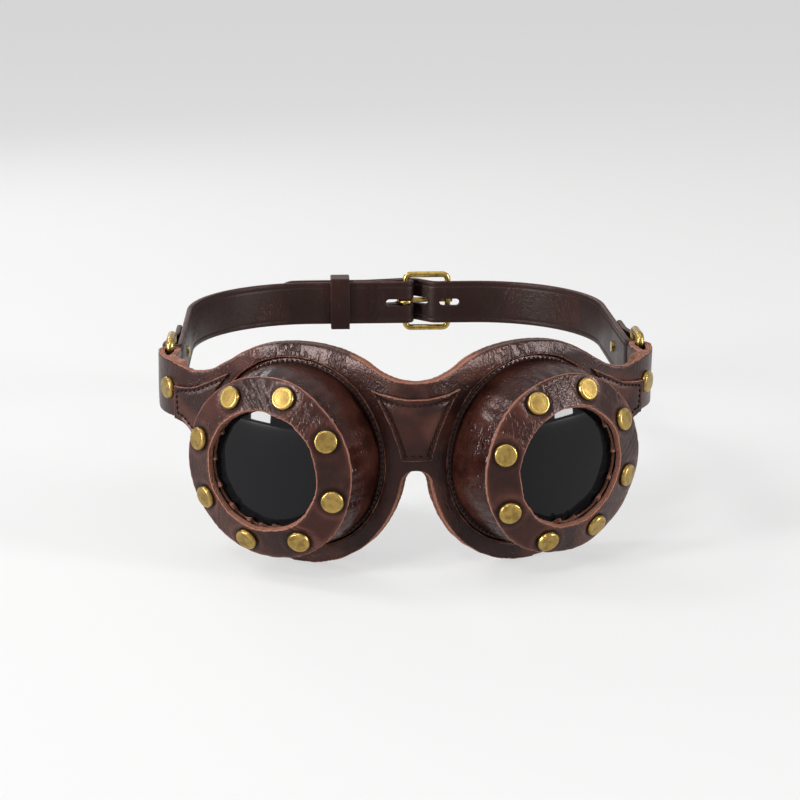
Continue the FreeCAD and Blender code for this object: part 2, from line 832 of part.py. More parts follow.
def front_ring(name, yaw):
    """The coned leather ring that closes the cup, with square-cut edges."""
    back_in = "ring_leather * sin(cone_angle)"
    back_down = "ring_leather * cos(cone_angle)"
    body = turned_body(name, [
        cup_point("ring_inner_radius", cone("ring_inner_radius")),
        cup_point("ring_outer_radius", cone("ring_outer_radius")),
        cup_point(f"ring_outer_radius - {back_in}", cone("ring_outer_radius", back_down)),
        cup_point(f"ring_inner_radius - {back_in}", cone("ring_inner_radius", back_down)),
    ], yaw, "-rivet_phase")
    rivet_bores(body, name)
    return body


def lens(name, yaw):
    """A domed dark lens."""
    crown = "(lens_radius^2 + lens_crown^2) / (2 * lens_crown)"
    return turned_body(name, [
        cup_point("0", LENS_BACK),
        cup_point("lens_radius", LENS_BACK),
        cup_point("lens_radius", LENS_FRONT, arc=(crown, "right")),
        cup_point("0", f"({LENS_FRONT} + lens_crown)"),
    ], yaw)


def retainer(name, yaw):
    """The ring pressed into the cup behind the lens: a plate with a lip under the lens."""
    lip = "(retainer_bore_radius + retainer_lip)"
    plate_in = "cup_leather + layer_clearance"
    return turned_body(name, [
        cup_point("retainer_bore_radius", LENS_BACK),
        cup_point("retainer_bore_radius", PLATE_LOW),
        cup_point(f"{wall_radius(PLATE_LOW)} - ({plate_in})", PLATE_LOW),
        cup_point(f"{wall_radius(PLATE_TOP)} - ({plate_in})", PLATE_TOP),
        cup_point(lip, PLATE_TOP),
        cup_point(lip, LENS_BACK),
    ], yaw)


def build_cups():
    grip = "ring_leather + cup_leather"
    for side, yaw in (("left", "-cup_yaw"), ("right", "cup_yaw")):
        node(cup_wall(f"{side}_cup_wall_body", yaw), f"{side}_cup_wall")
        node(front_ring(f"{side}_front_ring_body", yaw), f"{side}_front_ring")
        node(ring_rivets(f"{side}_caps_body", dome(), yaw), f"{side}_rivet_caps")
        node(ring_rivets(f"{side}_posts_body", shank(grip), yaw), f"{side}_rivet_posts")
        node(lens(f"{side}_lens_body", yaw), f"{side}_lens")
        node(retainer(f"{side}_retainer_body", yaw), f"{side}_lens_retainer")


# Back strap: two halves that meet in a buckle behind the head

STRAP_X = f"({RING_X} - {WIRE_FOLD} - strap_leather / 2)"
STRAP_Y = "(rear_distance + strap_leather / 2)"
LAYER = "(strap_leather + layer_clearance)"
BUCKLE_FOLD = "(buckle_wire_radius + pass_clearance + strap_leather / 2)"
BUCKLE_Y = f"({STRAP_Y} + {BUCKLE_FOLD})"
OVER_Y = f"({BUCKLE_Y} + {BUCKLE_FOLD} + strap_leather + pass_clearance)"
TIP_Y = f"({STRAP_Y} + {LAYER} + strap_leather + pass_clearance)"
BUCKLE_HALF = "(strap_width / 2 + buckle_side_clearance + buckle_corner_radius)"
TONGUE_EYE = "(buckle_wire_radius + tongue_clearance + tongue_wire_radius)"
TONGUE_Y = f"({BUCKLE_Y} + {TONGUE_EYE})"
# the strap's holes, counted in pitches from the one that the tongue is in
HOLE_STEPS = (-2, -1, 0, 1)


def ring_end(side):
    """The strap's end: riveted outside the run, round the ring's rear bar and back inside it."""
    middle = f"({WIRE_FOLD} + strap_leather / 2)"
    turn = f"{middle} - fold_flat"
    doubled = f"{side} * ({STRAP_X} + {LAYER})"
    outside = f"{side} * ({RING_X} + {middle})"
    inside = f"{side} * {STRAP_X}"
    front = f"{REAR_BAR_Y} - {middle}"
    return [
        corner(doubled, f"{REAR_BAR_Y} + strap_fold_end"),
        corner(doubled, f"{REAR_BAR_Y} + strap_fold_run", fillet="bend_radius"),
        corner(outside, f"{REAR_BAR_Y} + wire_radius", fillet="bend_radius"),
        corner(outside, front, fillet=turn),
        corner(inside, front, fillet=turn),
        corner(inside, STRAP_Y, fillet=f"{STRAP_X} - rear_flat"),
    ]


def strap_half(name, side, tail):
    """A half of the strap from its ring to its end at the buckle."""
    path = ring_end(side) + tail
    start = (f"{side} * ({STRAP_X} + {LAYER})", f"{REAR_BAR_Y} + strap_fold_end")
    return bent_strip(name, path, "strap_leather", "strap_width", start)


def slot_cutter(name, places):
    """Oblong holes punched through the strap at several places along X."""
    half = "(hole_length - tongue_slot_width) / 2"
    low = "tab_level - tongue_slot_width / 2"
    start = "rear_distance - strap_leather"
    reach = f"{OVER_Y} - rear_distance + 2 * strap_leather"
    pieces = []
    for number, middle in enumerate(places):
        pieces.append(box(f"{name}_middle_{number}", (f"{middle} - {half}", start, low),
                          (f"2 * {half}", reach, "tongue_slot_width")))
        for end, sign in (("near", "-"), ("far", "+")):
            pieces.append(cylinder(f"{name}_{end}_{number}", "tongue_slot_width / 2", reach,
                                   x=f"{middle} {sign} {half}", y=f"{OVER_Y} + strap_leather",
                                   z="tab_level", roll="90"))
    return pieces


def build_strap():
    bar = "buckle_bar_place"
    turn = f"{BUCKLE_FOLD} - fold_flat"
    fold_tail = [
        corner(f"{bar} + {BUCKLE_FOLD}", STRAP_Y, fillet=turn),
        corner(f"{bar} + {BUCKLE_FOLD}", f"{BUCKLE_Y} + {BUCKLE_FOLD}", fillet=turn),
        corner(f"{bar} - buckle_wire_radius", f"{BUCKLE_Y} + {BUCKLE_FOLD}", fillet="bend_radius"),
        corner(f"{bar} - buckle_fold_run", f"{STRAP_Y} + {LAYER}", fillet="bend_radius"),
        corner(f"{bar} - buckle_fold_end", f"{STRAP_Y} + {LAYER}"),
    ]
    step = f"({OVER_Y} - {STRAP_Y}) / 2"
    crossing = f"({bar} + step_place)"
    tip_radius = f"({STRAP_X} - rear_flat + {TIP_Y} - {STRAP_Y})"
    tip_lead = f"{tip_radius} * tan(tip_turn / 2)"
    tip_end = f"({tip_lead} + strap_leather)"
    tip_tail = [
        corner(f"{crossing} + {step}", STRAP_Y, fillet="bend_radius"),
        corner(f"{crossing} - {step}", OVER_Y, fillet="bend_radius"),
        corner(f"{bar} - buckle_wire_radius", OVER_Y, fillet="bend_radius"),
        corner(f"{bar} - tip_rise_run", TIP_Y, fillet="bend_radius"),
        corner(f"-(rear_flat + {tip_lead})", TIP_Y, fillet=tip_radius),
        corner(f"-(rear_flat + {tip_lead} + {tip_end} * cos(tip_turn))",
               f"{TIP_Y} - {tip_end} * sin(tip_turn)"),
    ]
    left = strap_half("left_strap", "-1", fold_tail)
    right = strap_half("right_strap", "1", tip_tail)

    rivet_holes = rivet_set(
        "strap_rivet_caps", "strap_rivet_posts", "strap_rivet", f"strap_leather + {LAYER}",
        x=f"{STRAP_X} + {LAYER} + strap_leather / 2", y=f"{REAR_BAR_Y} + strap_rivet_run",
        z="tab_level", yaw="90", roll="90")
    used = f"({crossing} - ({TONGUE_Y} - ({STRAP_Y} + {OVER_Y}) / 2) - hole_lead)"
    places = [f"{used} + ({step_from_used}) * hole_pitch" for step_from_used in HOLE_STEPS]
    tongue_slot = box("tongue_slot", (f"{bar} - hole_length", "rear_distance - strap_leather",
                                      "tab_level - tongue_slot_width / 2"),
                      ("2 * hole_length", f"{OVER_Y} - rear_distance + strap_leather",
                       "tongue_slot_width"))
    left_cuts = combine("MultiFuse", "left_strap_cuts", [tongue_slot, rivet_holes[1]])
    node(cut("left_strap_cut", left, left_cuts), "left_strap")
    punched = slot_cutter("strap_hole", places)
    right_cuts = combine("MultiFuse", "right_strap_cuts", punched + [rivet_holes[0]])
    node(cut("right_strap_cut", right, right_cuts), "right_strap")


def build_buckle():
    """A wire frame whose near side is the bar, and a wire tongue that turns on the bar."""
    bar = "buckle_bar_place"
    low, high = f"tab_level - {BUCKLE_HALF}", f"tab_level + {BUCKLE_HALF}"
    corners = frame_corners(bar, f"{bar} + buckle_length", low, high, "buckle_corner_radius")
    path = free_sketch("buckle_frame_path", corners, y=BUCKLE_Y, roll="90")
    frame = bent_wire("buckle_frame", path, "buckle_wire_radius", x=bar, y=BUCKLE_Y, z="tab_level")
    node(frame, "buckle_frame")

    point = f"{bar} + buckle_length + tongue_overhang"
    round_bar = (TONGUE_EYE, "left")
    path = free_sketch("tongue_path", [
        corner(point, TONGUE_Y),
        corner(bar, TONGUE_Y, arc=round_bar),
        corner(f"{bar} - {TONGUE_EYE}", BUCKLE_Y, arc=round_bar),
        corner(bar, f"{BUCKLE_Y} - {TONGUE_EYE}", arc=round_bar),
        corner(f"{bar} + {TONGUE_EYE} * cos(tongue_eye_gap)",
               f"{BUCKLE_Y} - {TONGUE_EYE} * sin(tongue_eye_gap)"),
    ], closed=False, z="tab_level")
    tongue = bent_wire("tongue", path, "tongue_wire_radius", x=point, y=TONGUE_Y, z="tab_level",
                       yaw="90", roll="90")
    node(tongue, "buckle_tongue")


def build_keeper():
    """A leather loop that slides along the strap and holds its tip down."""
    low_y = "rear_distance - keeper_clearance"
    deep = f"({TIP_Y} + strap_leather / 2 + 2 * keeper_clearance - rear_distance)"
    half = "(strap_width / 2 + keeper_clearance)"
    start = "keeper_place - keeper_width / 2"
    outer = box("keeper_outer",
                (start, f"{low_y} - keeper_leather", f"tab_level - {half} - keeper_leather"),
                ("keeper_width", f"{deep} + 2 * keeper_leather", f"2 * ({half} + keeper_leather)"))
    inner = box("keeper_inner", (f"{start} - keeper_width", low_y, f"tab_level - {half}"),
                ("3 * keeper_width", deep, f"2 * {half}"))
    node(cut("keeper_loop", outer, inner), "strap_keeper")


def build_side_rings():
    right = side_ring()
    node(right, "right_side_ring")
    node(mirrored("left_ring_mirrored", right), "left_side_ring")


build_mask()
build_cups()
build_side_rings()
build_strap()
build_buckle()
build_keeper()
doc.recompute()

failed = [item.Name for item in doc.Objects if {"Invalid", "Error"} & set(item.State)]
if failed:
    raise RuntimeError(f"features that did not build: {failed}")
for piece in NODES:
    if piece.Shape.isNull() or not piece.Shape.isValid() or not piece.Shape.Solids:
        raise RuntimeError(f"{piece.Label} is not a valid solid")

os.makedirs("parts", exist_ok=True)
for piece in NODES:
    piece.Shape.exportStep(os.path.join("parts", f"{piece.Label}.step"))
    print(piece.Label, len(piece.Shape.Solids), round(piece.Shape.Volume, 1))
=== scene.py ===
import math
from functools import wraps

import bmesh
import bpy
import numpy as np
from bpy.props import FloatProperty, FloatVectorProperty, PointerProperty
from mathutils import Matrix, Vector
from mathutils.kdtree import KDTree


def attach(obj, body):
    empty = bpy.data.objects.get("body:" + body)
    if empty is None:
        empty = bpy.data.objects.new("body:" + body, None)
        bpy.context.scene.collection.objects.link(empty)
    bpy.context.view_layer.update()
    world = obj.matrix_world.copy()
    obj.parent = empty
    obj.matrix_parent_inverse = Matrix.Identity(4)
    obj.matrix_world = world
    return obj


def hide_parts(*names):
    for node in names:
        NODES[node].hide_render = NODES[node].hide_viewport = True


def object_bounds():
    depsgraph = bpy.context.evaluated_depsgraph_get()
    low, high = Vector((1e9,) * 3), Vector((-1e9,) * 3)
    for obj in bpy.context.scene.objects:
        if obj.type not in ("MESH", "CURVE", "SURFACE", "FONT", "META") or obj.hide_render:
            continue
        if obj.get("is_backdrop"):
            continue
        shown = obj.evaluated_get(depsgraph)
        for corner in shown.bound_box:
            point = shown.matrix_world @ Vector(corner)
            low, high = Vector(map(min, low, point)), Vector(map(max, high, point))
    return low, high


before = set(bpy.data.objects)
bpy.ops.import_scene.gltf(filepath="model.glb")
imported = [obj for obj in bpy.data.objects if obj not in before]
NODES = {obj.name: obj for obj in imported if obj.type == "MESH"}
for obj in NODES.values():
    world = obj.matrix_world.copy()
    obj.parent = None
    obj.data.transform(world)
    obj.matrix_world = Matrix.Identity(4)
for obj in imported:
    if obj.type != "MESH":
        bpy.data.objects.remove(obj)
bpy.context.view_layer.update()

bl_info = {
    "name": "Leather Goggles",
    "version": (1, 0, 0),
    "blender": (4, 5, 0),
    "location": "View3D > Sidebar > Goggles",
    "description": "Dresses a pair of riveted leather goggles and sets them on a pale floor",
    "category": "Object",
}

MM = 0.001
FULL_TURN = 2 * math.pi
SIDES = {"left": -1, "right": 1}
SEED = 7
RIVETS = 8


# Sizes and colours

def length(name, description, default):
    """A length in millimetres in the panel, kept in metres."""
    return FloatProperty(name=name, description=description, default=default * MM, min=0.0,
                         precision=5, unit="LENGTH")


def angle(name, description, default):
    """An angle in degrees in the panel, kept in radians."""
    return FloatProperty(name=name, description=description, default=math.radians(default),
                         subtype="ANGLE")


def colour(name, description, default):
    """A linear colour."""
    return FloatVectorProperty(name=name, description=description, default=default, size=3,
                               min=0.0, max=1.0, subtype="COLOR")


class GogglesSizes(bpy.types.PropertyGroup):
    """Sizes that the pieces are cut by"""
    cup_yaw: angle("Cup yaw", "Turn of each eye cup away from straight ahead", 29)
    panel_distance: length("Panel distance", "Head's axis to the outer face of an eye panel", 82.7)
    bridge_radius: length("Bridge radius", "Outer bend of the mask over the nose", 24)
    temple_radius: length("Temple radius", "Outer bend of the mask at the temple", 32.4)
    panel_reach: length("Panel reach", "Eye centre to the start of the temple's bend", 37.98)
    tab_level: length("Tab level", "Height of tabs, rings and strap over the eye centres", 16)
    patch_leather: length("Patch leather", "Thickness of the overlay patches", 1.6)
    cone_angle: angle("Cone angle", "Slope of the front rings", 24)
    ring_height: length("Ring height", "Front ring over the mask at its rivets", 22)
    ring_inner: length("Ring inner radius", "Inner edge of the front rings", 20.8)
    ring_outer: length("Ring outer radius", "Outer edge of the front rings", 31.5)
    ring_leather: length("Ring leather", "Thickness of the front rings", 2.2)
    rivet_circle: length("Rivet circle", "Radius of the circle of rivets", 26.5)
    cap_radius: length("Cap radius", "Radius of a rivet's cap", 4)
    cap_height: length("Cap height", "Height of a rivet's cap", 1.7)
    voxel: length("Leather voxel", "Voxel of the remeshed leather", 0.5)
    stitch_length: length("Stitch length", "Length of one stitch", 1.45)
    stitch_pitch: length("Stitch pitch", "Distance from stitch to stitch", 1.95)
    thread: length("Thread", "Thickness of the thread", 0.68)


class GogglesColours(bpy.types.PropertyGroup):
    """Colours of the materials and the floor"""
    leather: colour("Leather", "Dark chocolate of the mask", (0.026, 0.0066, 0.0045))
    # The deep colours are also mixed in as painted shade in wrinkles, seams, creases and round the
    # rivets.
    leather_deep: colour("Deep leather", "Darker patches of the mask", (0.0100, 0.0026, 0.0019))
    leather_worn: colour("Worn leather", "Rubbed high spots", (0.082, 0.029, 0.020))
    raw_edge: colour("Raw edge", "Cut edges of the leather", (0.34, 0.155, 0.105))
    raw_edge_deep: colour("Deep raw edge", "Dark fibres of the cut edges", (0.115, 0.038, 0.024))
    lining: colour("Lining", "Flesh side of the lining", (0.100, 0.044, 0.027))
    lining_deep: colour("Deep lining", "Darker flesh side", (0.068, 0.028, 0.017))
    strap: colour("Strap", "Very dark brown of the back strap", (0.014, 0.0070, 0.0055))
    thread: colour("Thread", "Waxed dark thread", (0.011, 0.0048, 0.0034))
    brass: colour("Brass", "Rubbed antique brass", (0.44, 0.30, 0.088))
    brass_deep: colour("Aged brass", "Tarnish in the hollows of the brass", (0.16, 0.095, 0.030))
    lens: colour("Lens", "Nearly black glass", (0.006, 0.006, 0.007))
    floor: colour("Floor", "Pale floor", (0.70, 0.70, 0.695))


def sizes():
    """The sizes of the scene."""
    return bpy.context.scene.goggles_sizes


def mm(name):
    """A size in millimetres."""
    return getattr(sizes(), name) / MM


def tint(name):
    """A colour as four values."""
    return (*getattr(bpy.context.scene.goggles_colours, name), 1.0)


# Plan of the mask: bridge, eye panel, temple and tab, seen from above on the right side

class Plan:
    """The outer face of the mask in plan; depth runs inwards from it. Millimetres."""

    def __init__(self):
        self.yaw = sizes().cup_yaw
        self.out = np.array([math.sin(self.yaw), -math.cos(self.yaw)])
        self.along = np.array([math.cos(self.yaw), math.sin(self.yaw)])
        self.distance = mm("panel_distance")
        self.bridge = mm("bridge_radius")
        self.temple = mm("temple_radius")
        self.reach = mm("panel_reach")
        self.bridge_centre = np.array([0.0, -(self.distance - self.bridge) / math.cos(self.yaw)])
        self.temple_centre = (self.out * (self.distance - self.temple)
                              + self.along * self.reach)
        self.bridge_reach = float(self.bridge_centre @ self.along)

    def frame_at(self, points):
        """Outward direction and depth of points (n, 3), folded to the right side."""
        flat = np.column_stack([np.abs(points[:, 0]), points[:, 1]])
        reach = flat @ self.along
        out = np.tile(self.out, (len(flat), 1))
        depth = self.distance - flat @ self.out
        for zone, centre, radius in ((reach < self.bridge_reach, self.bridge_centre, self.bridge),
                                     (reach > self.reach, self.temple_centre, self.temple)):
            arm = flat[zone] - centre
            size = np.linalg.norm(arm, axis=1)
            out[zone] = arm / size[:, None]
            depth[zone] = radius - size
        tab = (flat[:, 1] > self.temple_centre[1]) & (reach > self.reach)
        out[tab] = (1.0, 0.0)
        depth[tab] = self.temple_centre[0] + self.temple - flat[tab, 0]
        side = np.where(points[:, 0] < 0, -1.0, 1.0)
        return np.column_stack([out[:, 0] * side, out[:, 1], np.zeros(len(out))]), depth

    def at_reach(self, reach, height, depth, side):
        """The point at a reach along the eye panel, a height and a depth."""
        if reach <= self.reach:
            flat = self.out * (self.distance - depth) + self.along * reach
        else:
            turn = self.yaw + math.asin((reach - self.reach) / (self.temple - depth))
            flat = self.temple_centre + (self.temple - depth) * np.array(
                [math.sin(turn), -math.cos(turn)])
        return np.array([side * flat[0], flat[1], height])

    def at_x(self, x, height, depth):
        """The point over the bridge at a place across, a height and a depth."""
        radius = self.bridge - depth
        if abs(x) < radius * math.sin(self.yaw):
            y = self.bridge_centre[1] - math.sqrt(radius ** 2 - x ** 2)
        else:
            y = (abs(x) * self.out[0] - (self.distance - depth)) / -self.out[1]
        return np.array([x, y, height])


class Cup:
    """The axes of one eye cup: radius and angle across, height out from the mask's face."""

    def __init__(self, side):
        yaw = sizes().cup_yaw
        self.side = SIDES[side]
        self.out = np.array([self.side * math.sin(yaw), -math.cos(yaw), 0.0])
        self.across = np.array([math.cos(yaw), self.side * math.sin(yaw), 0.0])
        self.up = np.array([0.0, 0.0, 1.0])
        self.distance = mm("panel_distance")

    def point(self, radius, turn, height):
        """Points from radius, turn and height."""
        radius, turn, height = np.broadcast_arrays(radius, turn, height)
        return ((self.distance + height)[..., None] * self.out
                + (radius * np.cos(turn))[..., None] * self.across
                + (radius * np.sin(turn))[..., None] * self.up)

    def turn_of(self, points):
        """Turns of points round the cup's axis."""
        return np.arctan2(points @ self.up, points @ self.across)


def cone_height(radius):
    """Height of the front ring's face over the mask at a radius."""
    return mm("ring_height") + (mm("rivet_circle") - radius) * math.tan(sizes().cone_angle)


def rivet_phase(side):
    """Turn of the first rivet of a ring, read from the frame."""
    node = NODES[f"{side}_rivet_caps"].data
    turn = Cup(side).turn_of(np.array([v.co for v in node.vertices]) / MM)
    return float(np.angle(np.exp(1j * RIVETS * turn).mean())) / RIVETS


# Soft steps and smooth random fields

def smooth_step(low, high, value):
    """0 below low, 1 above high, and a soft rise between them."""
    share = np.clip((value - low) / (high - low), 0, 1)
    return share * share * (3 - 2 * share)


def bell(off, wide, power=2):
    """1 in the middle of a soft bump, 0 far from it."""
    return np.exp(-(off / wide) ** power)


def turn_gap(turn, at):
    """How far turns are from one turn, the short way round."""
    return (turn - at + math.pi) % FULL_TURN - math.pi


def round_turns(count):
    """Even turns once round."""
    return np.linspace(0, FULL_TURN, count, endpoint=False)


class Waves:
    """A smooth random field in space, from waves of about one length."""

    def __init__(self, size, seed, count=24):
        rng = np.random.default_rng(SEED + seed)
        direction = rng.normal(size=(count, 3))
        direction /= np.linalg.norm(direction, axis=1)[:, None]
        self.vector = direction * (FULL_TURN / size) * rng.uniform(0.7, 1.4, (count, 1))
        self.phase = rng.uniform(0, FULL_TURN, count)
        self.scale = math.sqrt(2.0 / count)

    def __call__(self, points):
        return np.cos(points @ self.vector.T + self.phase).sum(axis=-1) * self.scale


def round_waves(turns, low, high, seed):
    """A smooth random closed line: harmonics from low to high round a circle."""
    rng = np.random.default_rng(SEED + seed)
    order = np.arange(low, high + 1)
    phase = rng.uniform(0, FULL_TURN, len(order))
    size = rng.uniform(0.4, 1.0, len(order)) / math.sqrt(len(order))
    return (np.cos(turns[..., None] * order + phase) * size).sum(-1)


# Meshes

NEW_WELD, SOLID_WELD = 1e-7, 1e-6


def new_object(name, data):
    """An object in the scene."""
    thing = bpy.data.objects.new(name, data)
    bpy.context.scene.collection.objects.link(thing)
    return thing


def weld(mesh, gap, outward):
    """Joins points that lie together, and may turn all faces outwards."""
    work = bmesh.new()
    work.from_mesh(mesh)
    bmesh.ops.remove_doubles(work, verts=work.verts, dist=gap)
    if outward:
        bmesh.ops.recalc_face_normals(work, faces=work.faces)
    work.to_mesh(mesh)
    work.free()


def mesh_object(name, points, faces):
    """An object from points in millimetres."""
    mesh = bpy.data.meshes.new(name)
    mesh.from_pydata((np.asarray(points) * MM).tolist(), [], faces)
    weld(mesh, NEW_WELD, outward=True)
    mesh.shade_smooth()
    return new_object(name, mesh)


def mark(thing, **values):
    """Gives a piece's points the values that its material reads."""
    for name, value in values.items():
        attribute = thing.data.attributes.new(name, "FLOAT", "POINT")
        attribute.data.foreach_set("value", np.asarray(value, np.float32).ravel())


def read_mesh(thing):
    """Points in millimetres and normals of an object's mesh."""
    mesh = thing.data
    points = np.empty(len(mesh.vertices) * 3, np.float32)
    mesh.vertices.foreach_get("co", points)
    normals = np.empty(len(mesh.vertices) * 3, np.float32)
    mesh.vertex_normals.foreach_get("vector", normals)
    return points.reshape(-1, 3).astype(float) / MM, normals.reshape(-1, 3).astype(float)


def write_points(thing, points):
    """Moves an object's points, given in millimetres."""
    thing.data.vertices.foreach_set("co", (points * MM).astype(np.float32).ravel())
    thing.data.update()


def baked(thing):
    """Replaces an object's mesh by what its modifiers make of it."""
    depsgraph = bpy.context.evaluated_depsgraph_get()
    result = bpy.data.meshes.new_from_object(thing.evaluated_get(depsgraph))
    old = thing.data
    thing.modifiers.clear()
    thing.data = result
    if old.users == 0:
        bpy.data.meshes.remove(old)


def remeshed(name, node, voxel, passes):
    """A fine even skin over a node's solid, with its edges rounded off."""
    mesh = NODES[node].data.copy()
    mesh.materials.clear()
    weld(mesh, SOLID_WELD, outward=False)
    thing = new_object(name, mesh)
    remesh = thing.modifiers.new("skin", "REMESH")
    remesh.mode = "VOXEL"
    remesh.voxel_size = voxel * MM
    remesh.use_smooth_shade = True
    relax = thing.modifiers.new("relax", "SMOOTH")
    relax.factor = 0.5
    relax.iterations = passes
    baked(thing)
    thing.data.shade_smooth()
    return thing


def grid_faces(rows, loop, closed):
    """Quads between rows of looped points; closed joins the last row to the first."""
    here = np.arange(rows * loop).reshape(rows, loop)
    ahead = np.roll(here, -1, axis=0)
    faces = np.stack([here, np.roll(here, -1, axis=1), np.roll(ahead, -1, axis=1), ahead], axis=-1)
    return (faces if closed else faces[:-1]).reshape(-1, 4).tolist()


def revolved(name, cup, radius, height, turns):
    """A closed ring from half sections (turns, loop) of radius and height about a cup's axis."""
    points = cup.point(radius, turns[:, None], height).reshape(-1, 3)
    return mesh_object(name, points, grid_faces(*radius.shape, closed=True))


def turned(name, rings, poles):
    """A closed solid from rings of points (rows, turns, 3) and a pole at each end."""
    rows, count = rings.shape[:2]
    faces = grid_faces(rows, count, closed=False)
    first, last = rows * count, (rows - 1) * count
    for here in range(count):
        ahead = (here + 1) % count
        faces.append((first, ahead, here))
        faces.append((first + 1, last + here, last + ahead))
    return mesh_object(name, np.vstack([rings.reshape(-1, 3), poles]), faces)


def rounded_line(corners, step, closed=False):
    """Points along a line through corners (x, y, radius), each rounded by its radius."""
    places = [np.array(c[:2], float) for c in corners]
    count = len(corners)
    runs = []
    for n, corner in enumerate(corners):
        here = places[n]
        if not corner[2] or (not closed and n in (0, count - 1)):
            runs.append(here[None])
            continue
        back = places[n - 1] - here
        ahead = places[(n + 1) % count] - here
        back, ahead = back / np.linalg.norm(back), ahead / np.linalg.norm(ahead)
        half = math.acos(np.clip(back @ ahead, -1, 1)) / 2
        middle = here + (back + ahead) / np.linalg.norm(back + ahead) * corner[2] / math.sin(half)
        first = here + back * corner[2] / math.tan(half) - middle
        last = here + ahead * corner[2] / math.tan(half) - middle
        start = math.atan2(first[1], first[0])
        swing = math.atan2(first[0] * last[1] - first[1] * last[0], first @ last)
        steps = max(2, int(abs(swing) * corner[2] / step) + 2)
        turn = start + swing * np.linspace(0, 1, steps)
        runs.append(middle + corner[2] * np.column_stack([np.cos(turn), np.sin(turn)]))
    line = np.vstack(runs + ([runs[0][:1]] if closed else []))
    gaps = np.linalg.norm(np.diff(line, axis=0), axis=1)
    line = line[np.concatenate([[True], gaps > 1e-6])]
    run = run_along(line)
    even = np.linspace(0, run[-1], max(2, int(round(run[-1] / step)) + 1))
    out = np.column_stack([np.interp(even, run, line[:, k]) for k in (0, 1)])
    return out[:-1] if closed else out


def run_along(line):
    """How far each point of a line is from its start."""
    return np.concatenate([[0], np.cumsum(np.linalg.norm(np.diff(line, axis=0), axis=1))])


def box_corners(half_x, half_y, radius, middle=0.0):
    """The corners of a box for rounded_line, in order."""
    return [(middle + x * half_x, y * half_y, radius)
            for x, y in ((-1, -1), (1, -1), (1, 1), (-1, 1))]


# Node trees

class Paint:
    """A small helper that lays out the nodes of one tree."""

    def __init__(self, tree):
        self.tree = tree
        self.column = 0

    def add(self, kind, inputs=(), **settings):
        """A new node with its settings and its inputs."""
        node = self.tree.nodes.new(kind)
        node.location = (self.column * 180, 0)
        self.column += 1
        for name, value in settings.items():
            setattr(node, name, value)
        self.fill(node, dict(inputs))
        return node

    def fill(self, node, inputs):
        """Links inputs, by label or number, to outputs or gives them constants."""
        for label, value in inputs.items():
            if isinstance(value, bpy.types.NodeSocket):
                self.tree.links.new(value, node.inputs[label])
            else:
                node.inputs[label].default_value = value

    def math(self, operation, first, second=0.0, clamp=False):
        return self.add("ShaderNodeMath", {0: first, 1: second}, operation=operation,
                        use_clamp=clamp).outputs[0]

    def plus(self, first, second, clamp=False):
        return self.math("ADD", first, second, clamp)

    def times(self, first, second):
        return self.math("MULTIPLY", first, second)

    def mix(self, factor, first, second):
        return self.add("ShaderNodeMix", {0: factor, 6: first, 7: second},
                        data_type="RGBA").outputs[2]

    def ramp(self, value, low, high):
        """A value stretched from low and high to 0 and 1."""
        return self.add("ShaderNodeMapRange", {0: value, 1: low, 2: high},
                        interpolation_type="SMOOTHSTEP").outputs[0]

    def noise(self, vector, scale, detail=3.0, roughness=0.55):
        return self.add("ShaderNodeTexNoise", {
            "Vector": vector, "Scale": scale, "Detail": detail,
            "Roughness": roughness}).outputs["Fac"]

    def cells(self, vector, scale):
        return self.add("ShaderNodeTexVoronoi", {"Vector": vector, "Scale": scale},
                        feature="SMOOTH_F1").outputs["Distance"]

    def object_place(self):
        return self.add("ShaderNodeTexCoord").outputs["Object"]

    def attribute(self, name):
        return self.add("ShaderNodeAttribute", attribute_name=name).outputs["Fac"]

    def bump(self, height, strength, distance):
        """A normal from a height; the distance is in millimetres."""
        return self.add("ShaderNodeBump", {
            "Height": height, "Strength": strength,
            "Distance": distance * MM}).outputs["Normal"]


def kept(blocks, title):
    """Lets a builder hand back the data block of its title where one was made before."""
    def wrap(build):
        @wraps(build)
        def get(*values):
            name = title.format(*values)
            return getattr(bpy.data, blocks).get(name) or build(name, *values)
        return get
    return wrap


def new_tree(kind, name, sockets):
    """An empty tree with its group sockets: the helper and what comes in."""
    tree = bpy.data.node_groups.new(name, kind)
    for label, way, value, *default in sockets:
        socket = tree.interface.new_socket(label, in_out=way, socket_type=f"NodeSocket{value}")
        if default:
            socket.default_value = default[0]
    paint = Paint(tree)
    return paint, paint.add("NodeGroupInput").outputs


def finish_tree(lay, given, instances):
    """Ends a geometry tree: real meshes, smooth, in the chosen material."""
    real = lay.add("GeometryNodeRealizeInstances", {"Geometry": instances})
    smooth = lay.add("GeometryNodeSetShadeSmooth", {"Geometry": real.outputs["Geometry"]})
    painted = lay.add("GeometryNodeSetMaterial", {
        "Geometry": smooth.outputs["Geometry"], "Material": given["Material"]})
    lay.add("NodeGroupOutput", {"Geometry": painted.outputs["Geometry"]})
    return lay.tree


GEOMETRY_SOCKETS = [("Geometry", "INPUT", "Geometry"), ("Geometry", "OUTPUT", "Geometry"),
                    ("Material", "INPUT", "Material")]
STITCH_INPUTS = ("Stitch length", "Pitch", "Thread", "Slant")


